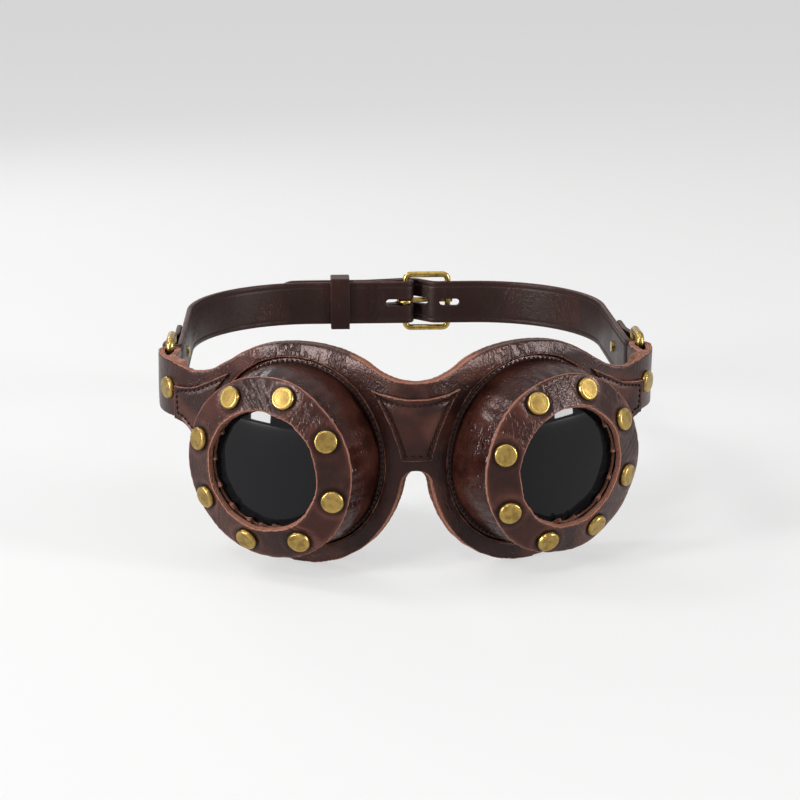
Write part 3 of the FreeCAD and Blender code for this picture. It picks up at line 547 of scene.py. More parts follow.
@kept("node_groups", "Goggles stitches")
def stitch_tree(name):
    """Stitches laid end to end along a line of edges."""
    lay, given = new_tree("GeometryNodeTree", name, GEOMETRY_SOCKETS + [
        (label, "INPUT", "Float") for label in STITCH_INPUTS])
    line = lay.add("GeometryNodeMeshToCurve", {"Mesh": given["Geometry"]})
    even = lay.add("GeometryNodeResampleCurve", {
        "Curve": line.outputs["Curve"], "Length": given["Pitch"]}, mode="LENGTH")
    bead = lay.add("GeometryNodeMeshUVSphere", {"Segments": 8, "Rings": 6, "Radius": 0.5})
    size = lay.add("ShaderNodeCombineXYZ", {
        "X": given["Stitch length"], "Y": given["Thread"], "Z": given["Thread"]})
    shape = lay.add("GeometryNodeTransform", {
        "Geometry": bead.outputs["Mesh"], "Scale": size.outputs["Vector"]})
    tangent = lay.add("GeometryNodeInputTangent")
    align = lay.add("FunctionNodeAlignRotationToVector", {
        "Vector": tangent.outputs["Tangent"]}, axis="X")
    slant = lay.add("FunctionNodeRandomValue", {
        "Min": lay.times(given["Slant"], -1.0), "Max": given["Slant"], "Seed": SEED},
        data_type="FLOAT_VECTOR")
    euler = lay.add("FunctionNodeEulerToRotation", {"Euler": slant.outputs["Value"]})
    turn = lay.add("FunctionNodeRotateRotation", {
        "Rotation": align.outputs["Rotation"], "Rotate By": euler.outputs["Rotation"]})
    place = lay.add("GeometryNodeInstanceOnPoints", {
        "Points": even.outputs["Curve"], "Instance": shape.outputs["Geometry"],
        "Rotation": turn.outputs["Rotation"]})
    return finish_tree(lay, given, place.outputs["Instances"])


@kept("node_groups", "Goggles rivets")
def rivet_tree(name):
    """One cap on every point, standing along the point's axis."""
    lay, given = new_tree("GeometryNodeTree", name, GEOMETRY_SOCKETS + [
        ("Cap", "INPUT", "Object")])
    cap = lay.add("GeometryNodeObjectInfo", {"Object": given["Cap"]})
    axis = lay.add("GeometryNodeInputNamedAttribute", {"Name": "axis"}, data_type="FLOAT_VECTOR")
    align = lay.add("FunctionNodeAlignRotationToVector", {
        "Vector": axis.outputs["Attribute"]}, axis="Z")
    place = lay.add("GeometryNodeInstanceOnPoints", {
        "Points": given["Geometry"], "Instance": cap.outputs["Geometry"],
        "Rotation": align.outputs["Rotation"]})
    return finish_tree(lay, given, place.outputs["Instances"])


def through_tree(thing, tree, values):
    """Runs an object through a tree and keeps the result as a plain mesh."""
    modifier = thing.modifiers.new("tree", "NODES")
    modifier.node_group = tree
    names = {item.name: item.identifier for item in tree.interface.items_tree
             if item.in_out == "INPUT"}
    for label, value in values.items():
        modifier[names[label]] = value
    baked(thing)


# Materials

WARM_SHEEN = (1.0, 0.80, 0.77, 1.0)
DUST = (0.05, 0.05, 0.055, 1)
WHITE = (1, 1, 1, 1)
LEATHERS = {  # colours, roughness, wrinkle depth and layers in the cut edge
    "mask": ("leather", "leather_deep", "leather_worn", 0.30, 0.25, 3.0),
    "cup": ("leather", "leather_deep", "leather_worn", 0.17, 0.20, 3.0),
    "ring": ("leather", "leather_deep", "leather_worn", 0.28, 0.20, 4.0),
    "lining": ("lining", "lining_deep", "lining", 0.75, 0.15, 2.0),
    "strap": ("strap", "leather_deep", "leather", 0.42, 0.15, 3.0),
}


def new_group(name, values, results):
    """An empty shader group with a place, other values and their defaults."""
    return new_tree("ShaderNodeTree", name, [
        ("Place", "INPUT", "Vector"),
        *((label, "INPUT", "Float", default) for label, default in values.items()),
        *((label, "OUTPUT", "Float") for label in results)])


@kept("node_groups", "Goggles grain")
def grain_group(name):
    """Fine leather grain with wandering wrinkles: a height, a tone for colour, the wrinkles."""
    paint, given = new_group(
        name, {"Pebbles": 1500.0, "Wrinkles": 190.0, "Wrinkle depth": 0.3},
        ("Height", "Tone", "Wrinkle"))
    place = given["Place"]
    tall = paint.add("ShaderNodeVectorMath", {0: place, 1: (1.0, 1.0, 0.45)},
                     operation="MULTIPLY").outputs["Vector"]
    wrinkles = []
    for stretch, detail in ((1.0, 3.0), (2.3, 2.0)):
        wave = paint.noise(tall, paint.times(given["Wrinkles"], stretch), detail)
        line = paint.math("ABSOLUTE", paint.math("SUBTRACT", wave, 0.5))
        wrinkles.append(paint.math("SUBTRACT", 1.0, paint.ramp(line, 0.0, 0.055)))
    wrinkle = paint.math("MAXIMUM", wrinkles[0], paint.times(wrinkles[1], 0.7))
    broken = paint.ramp(paint.noise(place, 120.0, 2.0), 0.38, 0.60)
    cut = paint.times(paint.times(wrinkle, broken), given["Wrinkle depth"])
    pebbles = paint.cells(place, given["Pebbles"])
    fine = paint.noise(place, 2600.0, 2.0)
    height = paint.plus(paint.times(pebbles, -0.30), paint.times(fine, 0.22))
    paint.add("NodeGroupOutput", {
        "Height": paint.math("SUBTRACT", height, cut),
        "Tone": paint.noise(place, 55.0, 5.0, 0.62), "Wrinkle": cut})
    return paint.tree


@kept("node_groups", "Goggles cut edge")
def edge_group(name):
    """Layered fibres on a cut edge: how raw it is, how dark its layers are, and a height."""
    paint, given = new_group(name, {"Raw": 0.0, "Layer": 0.0, "Layers": 3.0},
                             ("Cover", "Dark", "Height"))
    place = given["Place"]
    ragged = paint.math("SUBTRACT", paint.noise(place, 700.0, 3.0), 0.5)
    raw = paint.plus(given["Raw"], paint.times(ragged, 0.55))
    wander = paint.times(paint.noise(place, 260.0, 2.0), 0.35)
    band = paint.times(paint.plus(given["Layer"], wander), given["Layers"])
    stripe = paint.math("SINE", paint.times(band, FULL_TURN))
    fibre = paint.noise(place, 1500.0, 2.0)
    dark = paint.plus(paint.times(stripe, 0.42), paint.plus(fibre, 0.15), clamp=True)
    paint.add("NodeGroupOutput", {"Cover": paint.ramp(raw, 0.38, 0.62), "Dark": dark,
                                  "Height": paint.plus(stripe, fibre)})
    return paint.tree


def new_material(name):
    """A new material, the helper for its nodes, and its shader."""
    material = bpy.data.materials.new(name)
    material.use_nodes = True
    tree = material.node_tree
    return material, Paint(tree), tree.nodes["Principled BSDF"]


@kept("materials", "Goggles {} leather")
def leather(name, kind):
    """Waxed leather with a grain, rubbed spots and light cut edges, and painted shade in its
    wrinkles and in the marked seams, creases and hollows.
    """
    base, deep, worn, rough, wrinkle, layers = LEATHERS[kind]
    material, paint, shader = new_material(name)
    place = paint.object_place()
    grain = paint.add("ShaderNodeGroup", {
        "Place": place, "Wrinkle depth": paint.plus(paint.attribute("crackle"), wrinkle)},
        node_tree=grain_group()).outputs
    edge = paint.add("ShaderNodeGroup", {
        "Place": place, "Raw": paint.attribute("raw"), "Layer": paint.attribute("layer"),
        "Layers": layers}, node_tree=edge_group()).outputs
    # The attribute read here is painted shade, marked in seams, creases, ledges and round the
    # rivets. Together with painted shade along the grain's wrinkles, it darkens the leather
    # towards its deep colour.
    dull = paint.attribute("dull")
    skin = paint.mix(paint.ramp(grain["Tone"], 0.36, 0.64), tint(deep), tint(base))
    rub = paint.times(paint.attribute("worn"), paint.ramp(grain["Tone"], 0.32, 0.58))
    skin = paint.mix(rub, skin, tint(worn))
    hollow = paint.math("MAXIMUM", paint.times(grain["Wrinkle"], 0.4), dull)
    skin = paint.mix(hollow, skin, tint(deep))
    fibres = paint.mix(edge["Dark"], tint("raw_edge_deep"), tint("raw_edge"))
    shine = paint.plus(paint.times(grain["Tone"], -0.20), rough + 0.10)
    shine = paint.plus(shine, paint.times(grain["Wrinkle"], 0.12))
    shine = paint.plus(shine, paint.times(dull, 0.45))
    shine = paint.plus(shine, paint.times(edge["Cover"], 0.40), clamp=True)
    frayed = paint.times(paint.times(edge["Height"], edge["Cover"]), 0.6)
    paint.fill(shader, {
        "Base Color": paint.mix(edge["Cover"], skin, fibres), "Roughness": shine,
        "Normal": paint.bump(paint.plus(grain["Height"], frayed), 0.85, 0.25),
        "Specular IOR Level": 0.28, "Specular Tint": WARM_SHEEN})
    return material


@kept("materials", "Goggles brass")
def brass(name):
    """Antique brass, rubbed bright and tarnished in patches."""
    material, paint, shader = new_material(name)
    place = paint.object_place()
    patch = paint.noise(place, 420.0, 4.0)
    speck = paint.noise(place, 2400.0, 2.0)
    age = paint.plus(paint.ramp(patch, 0.42, 0.72), paint.attribute("dent"), clamp=True)
    paint.fill(shader, {
        "Base Color": paint.mix(paint.times(age, 0.72), tint("brass"), tint("brass_deep")),
        "Roughness": paint.plus(paint.times(patch, 0.30), 0.14), "Metallic": 1.0,
        "Normal": paint.bump(paint.plus(paint.times(speck, 0.3), patch), 0.22, 0.12)})
    return material


@kept("materials", "Goggles glass")
def glass(name):
    """Nearly black polished glass with a trace of dust."""
    material, paint, shader = new_material(name)
    place = paint.object_place()
    dust = paint.ramp(paint.noise(place, 900.0, 4.0, 0.7), 0.62, 0.80)
    haze = paint.times(paint.noise(place, 60.0, 3.0), 0.05)
    paint.fill(shader, {
        "Base Color": paint.mix(paint.times(dust, 0.10), tint("lens"), DUST),
        "Roughness": paint.plus(haze, paint.times(dust, 0.12)),
        "IOR": 1.5, "Specular IOR Level": 0.16})
    return material


@kept("materials", "Goggles thread")
def waxed_thread(name):
    """Waxed thread, twisted."""
    material, paint, shader = new_material(name)
    twist = paint.noise(paint.object_place(), 3200.0, 2.0)
    paint.fill(shader, {
        "Base Color": paint.mix(twist, tint("thread"), tint("leather_deep")),
        "Roughness": paint.plus(paint.times(twist, 0.3), 0.35),
        "Normal": paint.bump(twist, 0.5, 0.1),
        "Specular IOR Level": 0.20, "Specular Tint": WARM_SHEEN})
    return material


def paint_piece(thing, material):
    """Gives a piece one material."""
    thing.data.materials.clear()
    thing.data.materials.append(material)


def settle(thing, body, nodes=(), material=None):
    """Paints a finished piece, hands it to its body, and hides the nodes it stands for."""
    if material:
        paint_piece(thing, material)
    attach(thing, body)
    if nodes:
        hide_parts(*nodes)


# Mask

OPENING = 33.6
FRONT_THICK, LINING_THICK = 2.4, 1.8
SHEET_WAVES, SHEET_DEPTH = Waves(38.0, 1), 0.22
EDGE_WAVES, EDGE_DEPTH = Waves(7.0, 2), 0.06
BROW_FROM, BROW_SPAN, BROW_BACK, BROW_DROP = 31.5, 8.0, 1.4, 1.3
BROW_EDGE_FROM, BROW_EDGE_TO, BROW_EDGE_FADE = 34.5, 38.0, 0.62
BROW_MIDDLE, BROW_SPREAD = math.radians(98), 0.50
BROW_CRACKLE = {"left": 0.9, "right": 0.55}
DIP_FROM, DIP_SPAN, DIP_HALF, DIP_DROP = 26.2, 4.1, 15.0, 1.4
SHEET_PASSES = 2


def brow_curl(points):
    """How far the brows bend back, from 0 over the eye to about 1 at the top edge."""
    return np.clip((points[:, 2] - BROW_FROM) / BROW_SPAN, 0, 1.2) ** 1.6


def bridge_dip(points):
    """How far the upper edge sinks over the nose, from 0 at the overlay to 1 at the edge."""
    rise = np.clip((points[:, 2] - DIP_FROM) / DIP_SPAN, 0, 1)
    return rise * bell(points[:, 0], DIP_HALF, 4)


def sheet_lift(points):
    """How far the mask's layers stand out, together: gentle waves, and brows that curl back."""
    return SHEET_DEPTH * SHEET_WAVES(points) - BROW_BACK * brow_curl(points)


def brow_crackle(points):
    """How wrinkled the mask is: most over the brows, and more on the left."""
    brow = np.zeros(len(points))
    for side, amount in BROW_CRACKLE.items():
        cup = Cup(side)
        here = points[:, 0] * cup.side > 0
        brow += amount * bell(cup.turn_of(points) - BROW_MIDDLE, BROW_SPREAD) * here
    return brow + 0.25 * smooth_step(0.3, 1.2, SHEET_WAVES(points * 1.3))


def dress_sheet(thing, thick, low, opening=0.0):
    """Marks the cut edges of a mask layer, roughens them and lets the layer wave a little."""
    plan = Plan()
    points, normals = read_mesh(thing)
    out, depth = plan.frame_at(points)
    across = np.abs((normals * out).sum(axis=1))
    fold = points[:, 1] > plan.temple_centre[1] - 1.0
    across = np.where(fold, np.sqrt(1 - np.clip(normals[:, 2], -1, 1) ** 2), across)
    raw = smooth_step(0.04, 0.26, 1 - across)
    if opening:
        rim = np.min([np.linalg.norm(points - np.outer(points @ cup.out, cup.out), axis=1)
                      for cup in map(Cup, SIDES)], axis=0) - opening
        raw = np.maximum(raw, 0.9 * (1 - smooth_step(0.30, 0.75, np.abs(rim))))
    raw *= 1 - BROW_EDGE_FADE * smooth_step(BROW_EDGE_FROM, BROW_EDGE_TO, points[:, 2])
    mark(thing, raw=raw, layer=np.clip((depth - low) / thick, 0, 1),
         worn=smooth_step(0.2, 1.4, SHEET_WAVES(points * 1.7)) * 0.6,
         crackle=brow_crackle(points))
    jitter = EDGE_DEPTH * EDGE_WAVES(points) * raw
    lift = np.where(fold, 0, sheet_lift(points))
    moved = points + normals * jitter[:, None] + out * lift[:, None]
    moved[:, 2] -= BROW_DROP * brow_curl(points) + DIP_DROP * bridge_dip(points)
    write_points(thing, moved)


class GOGGLES_OT_mask(bpy.types.Operator):
    """Lays the mask's leather and its lining"""
    bl_idname = "goggles.mask"
    bl_label = "Mask"

    def execute(self, context):
        front = remeshed("mask_hide", "mask_front", mm("voxel"), SHEET_PASSES)
        dress_sheet(front, FRONT_THICK, 0.0, OPENING)
        settle(front, "mask", ["mask_front"], leather("mask"))
        lining = remeshed("mask_backing", "mask_lining", mm("voxel"), SHEET_PASSES)
        dress_sheet(lining, LINING_THICK, FRONT_THICK)
        settle(lining, "mask", ["mask_lining"], leather("lining"))
        return {"FINISHED"}


# Patches

PATCH_VOXEL = 0.34
THREAD_SINK = 0.10
BRIDGE_HALF_TOP, BRIDGE_HALF_BOTTOM, BRIDGE_BOW = 15.2, 5.2, 1.15
BRIDGE_CORNER, BRIDGE_MIDDLE, BRIDGE_BOTTOM = 25.8, 23.6, 2.2
BRIDGE_TOP_MARGIN = 0.6
TEMPLE_SEAM = [(27.6, 23.4, 0), (39.2, 17.9, 4), (48.6, 16.2, 1.2), (48.6, 7.6, 1.2),
               (46.0, 7.6, 3), (39.0, 1.5, 4), (38.4, -7.0, 0)]
SEAM_DEPTH, SEAM_WIDTH = 0.34, 0.75
MARGIN_DROP, MARGIN_WIDTH = 0.62, 1.9


def lifted(points):
    """Points moved with the wave of the mask's layers."""
    points = np.asarray(points, float)
    out, _ = Plan().frame_at(points)
    return points + out * sheet_lift(points)[:, None]


def bridge_rows(inset=1.5):
    """Rows just inside the edges of the bridge's overlay: upper, left, right and lower."""
    plan = Plan()
    out = -mm("patch_leather") + THREAD_SINK
    half, low = BRIDGE_HALF_TOP, BRIDGE_HALF_BOTTOM
    sag = BRIDGE_CORNER - BRIDGE_MIDDLE
    rows = [[plan.at_x(x, BRIDGE_MIDDLE + sag * (x / half) ** 2 - inset - BRIDGE_TOP_MARGIN, out)
             for x in np.linspace(-(half - inset), half - inset, 60)]]
    for sign in (-1, 1):
        side = []
        for share in np.linspace(0.05, 0.90, 60):
            bow = BRIDGE_BOW * math.sin(math.pi * share)
            x = low + (half - low) * share - bow - inset
            height = BRIDGE_BOTTOM + (BRIDGE_CORNER - BRIDGE_BOTTOM) * share
            side.append(plan.at_x(sign * x, height, out))
        rows.append(side)
    rows.append([plan.at_x(x, BRIDGE_BOTTOM + inset, out)
                 for x in np.linspace(-low + inset, low - inset, 18)])
    return [lifted(row) for row in rows]


def temple_rows(side):
    """The row along the upper, rear and lower edges of a temple's overlay."""
    plan = Plan()
    out = -mm("patch_leather") + THREAD_SINK
    return [lifted([plan.at_reach(reach, height, out, SIDES[side])
                    for reach, height in rounded_line(TEMPLE_SEAM, 0.5)])]


def distance_to(rows, points):
    """How far points are from the nearest point of some rows."""
    tree = KDTree(sum(map(len, rows)))
    for number, place in enumerate(np.vstack(rows)):
        tree.insert(place, number)
    tree.balance()
    return np.array([tree.find(p)[2] for p in points])


def sewn(thing, rows, margins=()):
    """Pulls a piece's outer face in along its rows of stitches, paints shade along them, and lets
    its margins slope off.
    """
    points, normals = read_mesh(thing)
    out, _ = Plan().frame_at(points)
    gap = distance_to(rows, points)
    face = smooth_step(0.5, 0.9, (normals * out).sum(axis=1))
    drop = SEAM_DEPTH * bell(gap, SEAM_WIDTH)
    if margins:
        drop += MARGIN_DROP * np.clip(1 - distance_to(margins, points) / MARGIN_WIDTH, 0, 1)
    # Painted shade darkens the leather along the stitch grooves.
    mark(thing, dull=0.55 * bell(gap, 0.55 * SEAM_WIDTH) * face)
    write_points(thing, points - out * (drop * face)[:, None])


class GOGGLES_OT_patches(bpy.types.Operator):
    """Lays the overlays of the bridge and the temples"""
    bl_idname = "goggles.patches"
    bl_label = "Patches"

    def execute(self, context):
        seams = {"bridge_patch": (bridge_rows(), bridge_rows(inset=0.0)[1:3])}
        seams.update((f"{side}_temple_patch", (temple_rows(side),)) for side in SIDES)
        for node, rows in seams.items():
            patch = remeshed(f"{node}_hide", node, PATCH_VOXEL, SHEET_PASSES)
            dress_sheet(patch, mm("patch_leather"), -mm("patch_leather"))
            sewn(patch, *rows)
            settle(patch, "mask", [node], leather("mask"))
        return {"FINISHED"}


# Front rings

RING_TURNS = 320
RING_ROUNDING, RING_STEP, RING_CUT = 0.5, 0.42, 0.30
UNEVEN_OUTER, UNEVEN_INNER, UNEVEN_FINE = 0.34, 0.26, 0.10
WIDE_CUT = {"left": (-70, 0.5), "right": (-25, 1.9)}  # where a ring is cut wide, and how much
WIDE_SPREAD = 0.75
SWELL = 0.20
PRESS_DEPTH, PRESS_RADIUS = 0.36, 4.6
RIDGE_HEIGHT, RIDGE_RADIUS, RIDGE_WIDTH = 0.16, 5.9, 1.2
# Radius and width of the painted shade round each rivet cap.
CAP_SHADE_RADIUS, CAP_SHADE_WIDTH = 4.1, 0.45
CRACKLED = {"left": 62, "right": 140}  # the middle of each ring's crazed part
CREASES = {  # bunches of creases: middle, spread, count and depth
    "left": ((98, 13, 11, 0.26), (-47, 13, 12, 0.13), (55, 18, 9, 0.10), (190, 40, 8, 0.07)),
    "right": ((135, 22, 16, 0.12), (98, 12, 9, 0.10), (-60, 30, 8, 0.07), (15, 20, 7, 0.09)),
}


def ring_section(width, thick):
    """Loop of a flat ring's section, as place along the slope and depth, and its cut edges."""
    back = RING_ROUNDING * 0.7
    loop = rounded_line([(0, 0, RING_ROUNDING), (width, 0, RING_ROUNDING), (width, -thick, back),
                         (0, -thick, back)], RING_STEP, closed=True)
    return loop, np.minimum(loop[:, 0], width - loop[:, 0]) < RING_CUT


def ring_creases(side):
    """Creases across a ring, in bunches: turn, slant, width and depth of each."""
    rng = np.random.default_rng(SEED + SIDES[side])
    found = []
    for middle, spread, count, depth in CREASES[side]:
        slant = rng.normal(0.018, 0.006)
        for at in np.linspace(middle - spread, middle + spread, count):
            found.append((math.radians(at + rng.normal(0, spread / count / 2)),
                          slant + rng.normal(0, 0.006), rng.uniform(0.008, 0.020),
                          depth * rng.uniform(0.4, 1.2)))
    return found


def front_ring(side):
    """The coned ring: pressed in at the rivets, creased between them, unevenly cut."""
    slope = sizes().cone_angle
    inner, thick, circle = mm("ring_inner"), mm("ring_leather"), mm("rivet_circle")
    width = (mm("ring_outer") - inner) / math.cos(slope)
    loop, cut = ring_section(width, thick)
    turns = round_turns(RING_TURNS)
    along = np.tile(loop[:, 0], (RING_TURNS, 1))
    deep = np.tile(loop[:, 1], (RING_TURNS, 1))
    turn = np.repeat(turns[:, None], len(loop), axis=1)
    seed = 20 + SIDES[side]
    share = along / width
    along = along + UNEVEN_OUTER * round_waves(turns, 2, 9, seed)[:, None] * share
    wide_at, wide_by = WIDE_CUT[side]
    wide = bell(turn_gap(turn, math.radians(wide_at)), WIDE_SPREAD)
    along = along + wide_by * wide * share ** 2
    along = along + UNEVEN_INNER * round_waves(turns, 3, 14, seed + 3)[:, None] * (1 - share)
    along = along + UNEVEN_FINE * round_waves(turns, 20, 70, seed + 6)[:, None] * (
        np.abs(share - 0.5) * 2)
    step = FULL_TURN / RIVETS
    off = (turn - rivet_phase(side) + step / 2) % step - step / 2
    away = np.hypot(off * circle, along - (circle - inner) / math.cos(slope))
    press = bell(away, PRESS_RADIUS, 4)
    swell = SWELL * round_waves(turns, 3, 11, seed + 9)[:, None] * (0.4 + 0.6 * share)
    lift = (swell - PRESS_DEPTH * press
            + RIDGE_HEIGHT * bell(away - RIDGE_RADIUS, RIDGE_WIDTH))
    creases = np.zeros_like(lift)
    for at, slant, wide, depth in ring_creases(side):
        creases += depth * bell(turn_gap(turn, at + slant * (along - width / 2)), wide)
    lift = lift - creases * (1 - press)
    deep = deep + lift * (0.5 + 0.5 * smooth_step(-thick, 0, deep))
    radius = inner + along * math.cos(slope) + deep * math.sin(slope)
    height = cone_height(inner) - along * math.sin(slope) + deep * math.cos(slope)
    ring = revolved(f"{side}_ring_hide", Cup(side), radius, height, turns)
    rim = bell(np.minimum(along, width - along), 0.9)
    crazed = 0.5 * bell(turn_gap(turn, math.radians(CRACKLED[side])), 0.40)
    mark(ring, raw=np.tile(cut.astype(float), RING_TURNS),
         layer=np.tile(-loop[:, 1] / thick, RING_TURNS),
         # Painted shade in a ring round each rivet cap, where the leather is pressed down.
         dull=0.85 * bell(away - CAP_SHADE_RADIUS, CAP_SHADE_WIDTH),
         crackle=np.clip(creases * 3 + crazed, 0, 0.8),
         worn=(0.75 * rim + 0.8 * np.clip(lift * 4, 0, 1)).clip(0, 1))
    settle(ring, "mask", [f"{side}_front_ring"], leather("ring"))


class GOGGLES_OT_front_rings(bpy.types.Operator):
    """Cuts the coned front rings"""
    bl_idname = "goggles.front_rings"
    bl_label = "Front rings"

    def execute(self, context):
        for side in SIDES:
            front_ring(side)
        return {"FINISHED"}


# Eye cups

CUP_TURNS, CUP_STEP = 360, 0.62
FLANGE_RADIUS, FLANGE_TOP, FLANGE_LOW = 37.4, -2.4, -3.6
WELT_RADIUS, WELT_TOP = 33.2, -1.0
WALL_BASE, WALL_TOP, WALL_THICK = 31.6, 30.4, 1.6
PLEAT, BELLY, BULGE, GATHER = 0.42, 0.95, 0.50, 0.55
FOLD_REACH, FOLD_EDGE, FOLD_OVER = 18.9, 20.25, 0.5
FOLD_SAG, SCRAP_RISE = 0.70, 0.45
INSIDE = 12.0  # the fold lies higher than this
SCRAPS = {"left": (150, 176, 203, 228, 246, 268, 283), "right": (262, 281, 312, 338, 8, 34)}
RETAINER_TURNS, RETAINER_WAVE = 160, 0.08
RETAINER = [(20.4, 17.48), (20.4, 13.08), (29.1, 13.08), (29.0, 15.28), (22.4, 15.28),
            (22.4, 17.48)]
RETAINER_CUT = (20.7, 28.8)


def ragged_edge(side, turns, seed):
    """Where the cup's fold ends under the ring, and the torn scraps that stand out from it."""
    rng = np.random.default_rng(SEED + seed)
    edge = (FOLD_EDGE + 0.20 * round_waves(turns, 4, 18, seed)
            + 0.10 * round_waves(turns, 30, 90, seed + 1))
    scraps = np.zeros_like(turns)
    for at in np.radians(SCRAPS[side]):
        gap = turn_gap(turns, at + rng.normal(0, 0.04))
        wide = rng.uniform(0.05, 0.12)
        lean = rng.uniform(-0.8, 0.8) * wide
        rise = np.where(gap < lean, (gap + wide) / (lean + wide), (wide - gap) / (wide - lean))
        scraps = np.maximum(scraps, rng.uniform(1.2, 2.1) * np.clip(rise, 0, 1))
    return np.maximum(edge - scraps, FOLD_REACH - FOLD_OVER), scraps


def cup_wall(side):
    """The cup's wall with its sewn flange, gathered under the ring and folded in, ragged."""
    slope = sizes().cone_angle
    ring_back = mm("ring_leather") / math.cos(slope)
    fold_back = ring_back + WALL_THICK / math.cos(slope)
    inner_top = WALL_TOP - WALL_THICK
    loop = rounded_line([
        (FLANGE_RADIUS, FLANGE_LOW, 0.3), (FLANGE_RADIUS, FLANGE_TOP, 0.3),
        (WELT_RADIUS + 0.1, FLANGE_TOP, 0.1), (WELT_RADIUS, WELT_TOP, 0.3),
        (WALL_BASE, WELT_TOP, 0.6), (WALL_TOP, cone_height(WALL_TOP) - ring_back, 1.2),
        (FOLD_REACH, cone_height(FOLD_REACH) - ring_back, 0.4),
        (FOLD_REACH, cone_height(FOLD_REACH) - fold_back, 0.4),
        (inner_top, cone_height(inner_top) - fold_back, 1.0),
        (WALL_BASE - WALL_THICK, FLANGE_LOW, 0.6)], CUP_STEP, closed=True)
    turns = round_turns(CUP_TURNS)
    radius = np.tile(loop[:, 0], (CUP_TURNS, 1))
    height = np.tile(loop[:, 1], (CUP_TURNS, 1))
    seed = 40 + SIDES[side]
    rise = smooth_step(1.0, 16.0, height) * smooth_step(28.0, 30.0, radius)
    belly = (np.sin(np.clip((height + 1.5) / 20.0, 0, 1) * math.pi)
             * smooth_step(28.0, 29.5, radius))
    pleats = round_waves(turns, 14, 46, seed)[:, None]
    bulge = round_waves(turns, 2, 8, seed + 3)[:, None]
    shift = PLEAT * pleats * rise + (BELLY + BULGE * bulge) * belly - GATHER * rise
    inward = np.clip((WALL_TOP - 0.5 - radius) / (WALL_TOP - 0.5 - FOLD_REACH), 0, 1)
    inward = np.where(height > INSIDE, inward, 0)
    edge, scraps = ragged_edge(side, turns, seed + 5)
    reach = (edge - FOLD_REACH)[:, None] * inward ** 2
    radius = radius + shift + reach
    sag = FOLD_SAG - SCRAP_RISE * scraps[:, None]
    height = height - reach * math.tan(slope) - sag * smooth_step(0.35, 1.0, inward)
    wall = revolved(f"{side}_cup_hide", Cup(side), radius, height, turns)
    rim = (loop[:, 0] < FOLD_REACH + 0.35) & (loop[:, 1] > INSIDE)
    rim |= loop[:, 0] > FLANGE_RADIUS - 0.2
    torn = np.clip(scraps[:, None] * 0.7, 0, 0.75) * smooth_step(0.82, 0.95, inward)
    # Painted shade on the ledge under the mask's opening and at the foot of the wall.
    groove = (smooth_step(WELT_RADIUS - 0.25, WELT_RADIUS, radius)
              + 0.5 * bell(radius - WALL_BASE, 0.5))
    mark(wall, raw=np.maximum(np.tile(rim.astype(float), (CUP_TURNS, 1)), torn),
         layer=np.tile((loop[:, 1] * 0.4) % 1.0, CUP_TURNS),
         dull=np.clip(groove * (height < 0.5), 0, 1), crackle=0.5 * rise,
         worn=0.28 * np.clip(shift * 1.6, 0, 1) * smooth_step(30.0, 31.0, radius))
    settle(wall, "mask", [f"{side}_cup_wall"], leather("cup"))


def retainer(side):
    """The stiff leather ring behind the lens."""
    loop = rounded_line([(r, h, 0.4) for r, h in RETAINER], 0.6, closed=True)
    turns = round_turns(RETAINER_TURNS)
    wave = RETAINER_WAVE * round_waves(turns, 4, 30, 60 + SIDES[side])[:, None]
    ring = revolved(f"{side}_retainer_hide", Cup(side),
                    np.tile(loop[:, 0], (RETAINER_TURNS, 1)),
                    np.tile(loop[:, 1], (RETAINER_TURNS, 1)) + wave, turns)
    cut = (loop[:, 0] < RETAINER_CUT[0]) | (loop[:, 0] > RETAINER_CUT[1])
    mark(ring, raw=np.tile(cut.astype(float), RETAINER_TURNS),
         layer=np.tile((loop[:, 1] * 0.5) % 1.0, RETAINER_TURNS))
    settle(ring, "mask", [f"{side}_lens_retainer"], leather("lining"))


class GOGGLES_OT_cups(bpy.types.Operator):
    """Builds the eye cups' walls and the rings behind the lenses"""
    bl_idname = "goggles.cups"
    bl_label = "Eye cups"

    def execute(self, context):
        for side in SIDES:
            cup_wall(side)
            retainer(side)
        return {"FINISHED"}


# Lenses

LENS_RADIUS, LENS_BACK, LENS_FRONT, LENS_CROWN = 22.6, 17.476, 19.476, 2.4
LENS_ROWS, LENS_TURNS, LENS_CHAMFER = 34, 96, 0.25
LENS_SHARP = math.radians(35)


def lens(side):
    """A thick dark disc with a gently domed face."""
    cup = Cup(side)
    top = LENS_FRONT + LENS_CROWN
    rows = np.append(np.linspace(0.0, 0.985, LENS_ROWS), 1.0) * LENS_RADIUS
    face = [(r, LENS_FRONT + LENS_CROWN * (1 - (r / LENS_RADIUS) ** 2)) for r in rows[1:]]
    profile = np.array(face + [(LENS_RADIUS, LENS_BACK + LENS_CHAMFER),
                               (LENS_RADIUS - LENS_CHAMFER, LENS_BACK)])
    rings = cup.point(profile[:, :1], round_turns(LENS_TURNS)[None, :], profile[:, 1:])
    disc = turned(f"{side}_dark_lens", rings,
                  [cup.point(0.0, 0.0, top), cup.point(0.0, 0.0, LENS_BACK)])
    disc.data.set_sharp_from_angle(angle=LENS_SHARP)
    settle(disc, "mask", [f"{side}_lens"], glass())


class GOGGLES_OT_lenses(bpy.types.Operator):
    """Polishes the dark lenses"""
    bl_idname = "goggles.lenses"
    bl_label = "Lenses"

    def execute(self, context):
        for side in SIDES:
            lens(side)
        return {"FINISHED"}


# Rivets and other brass

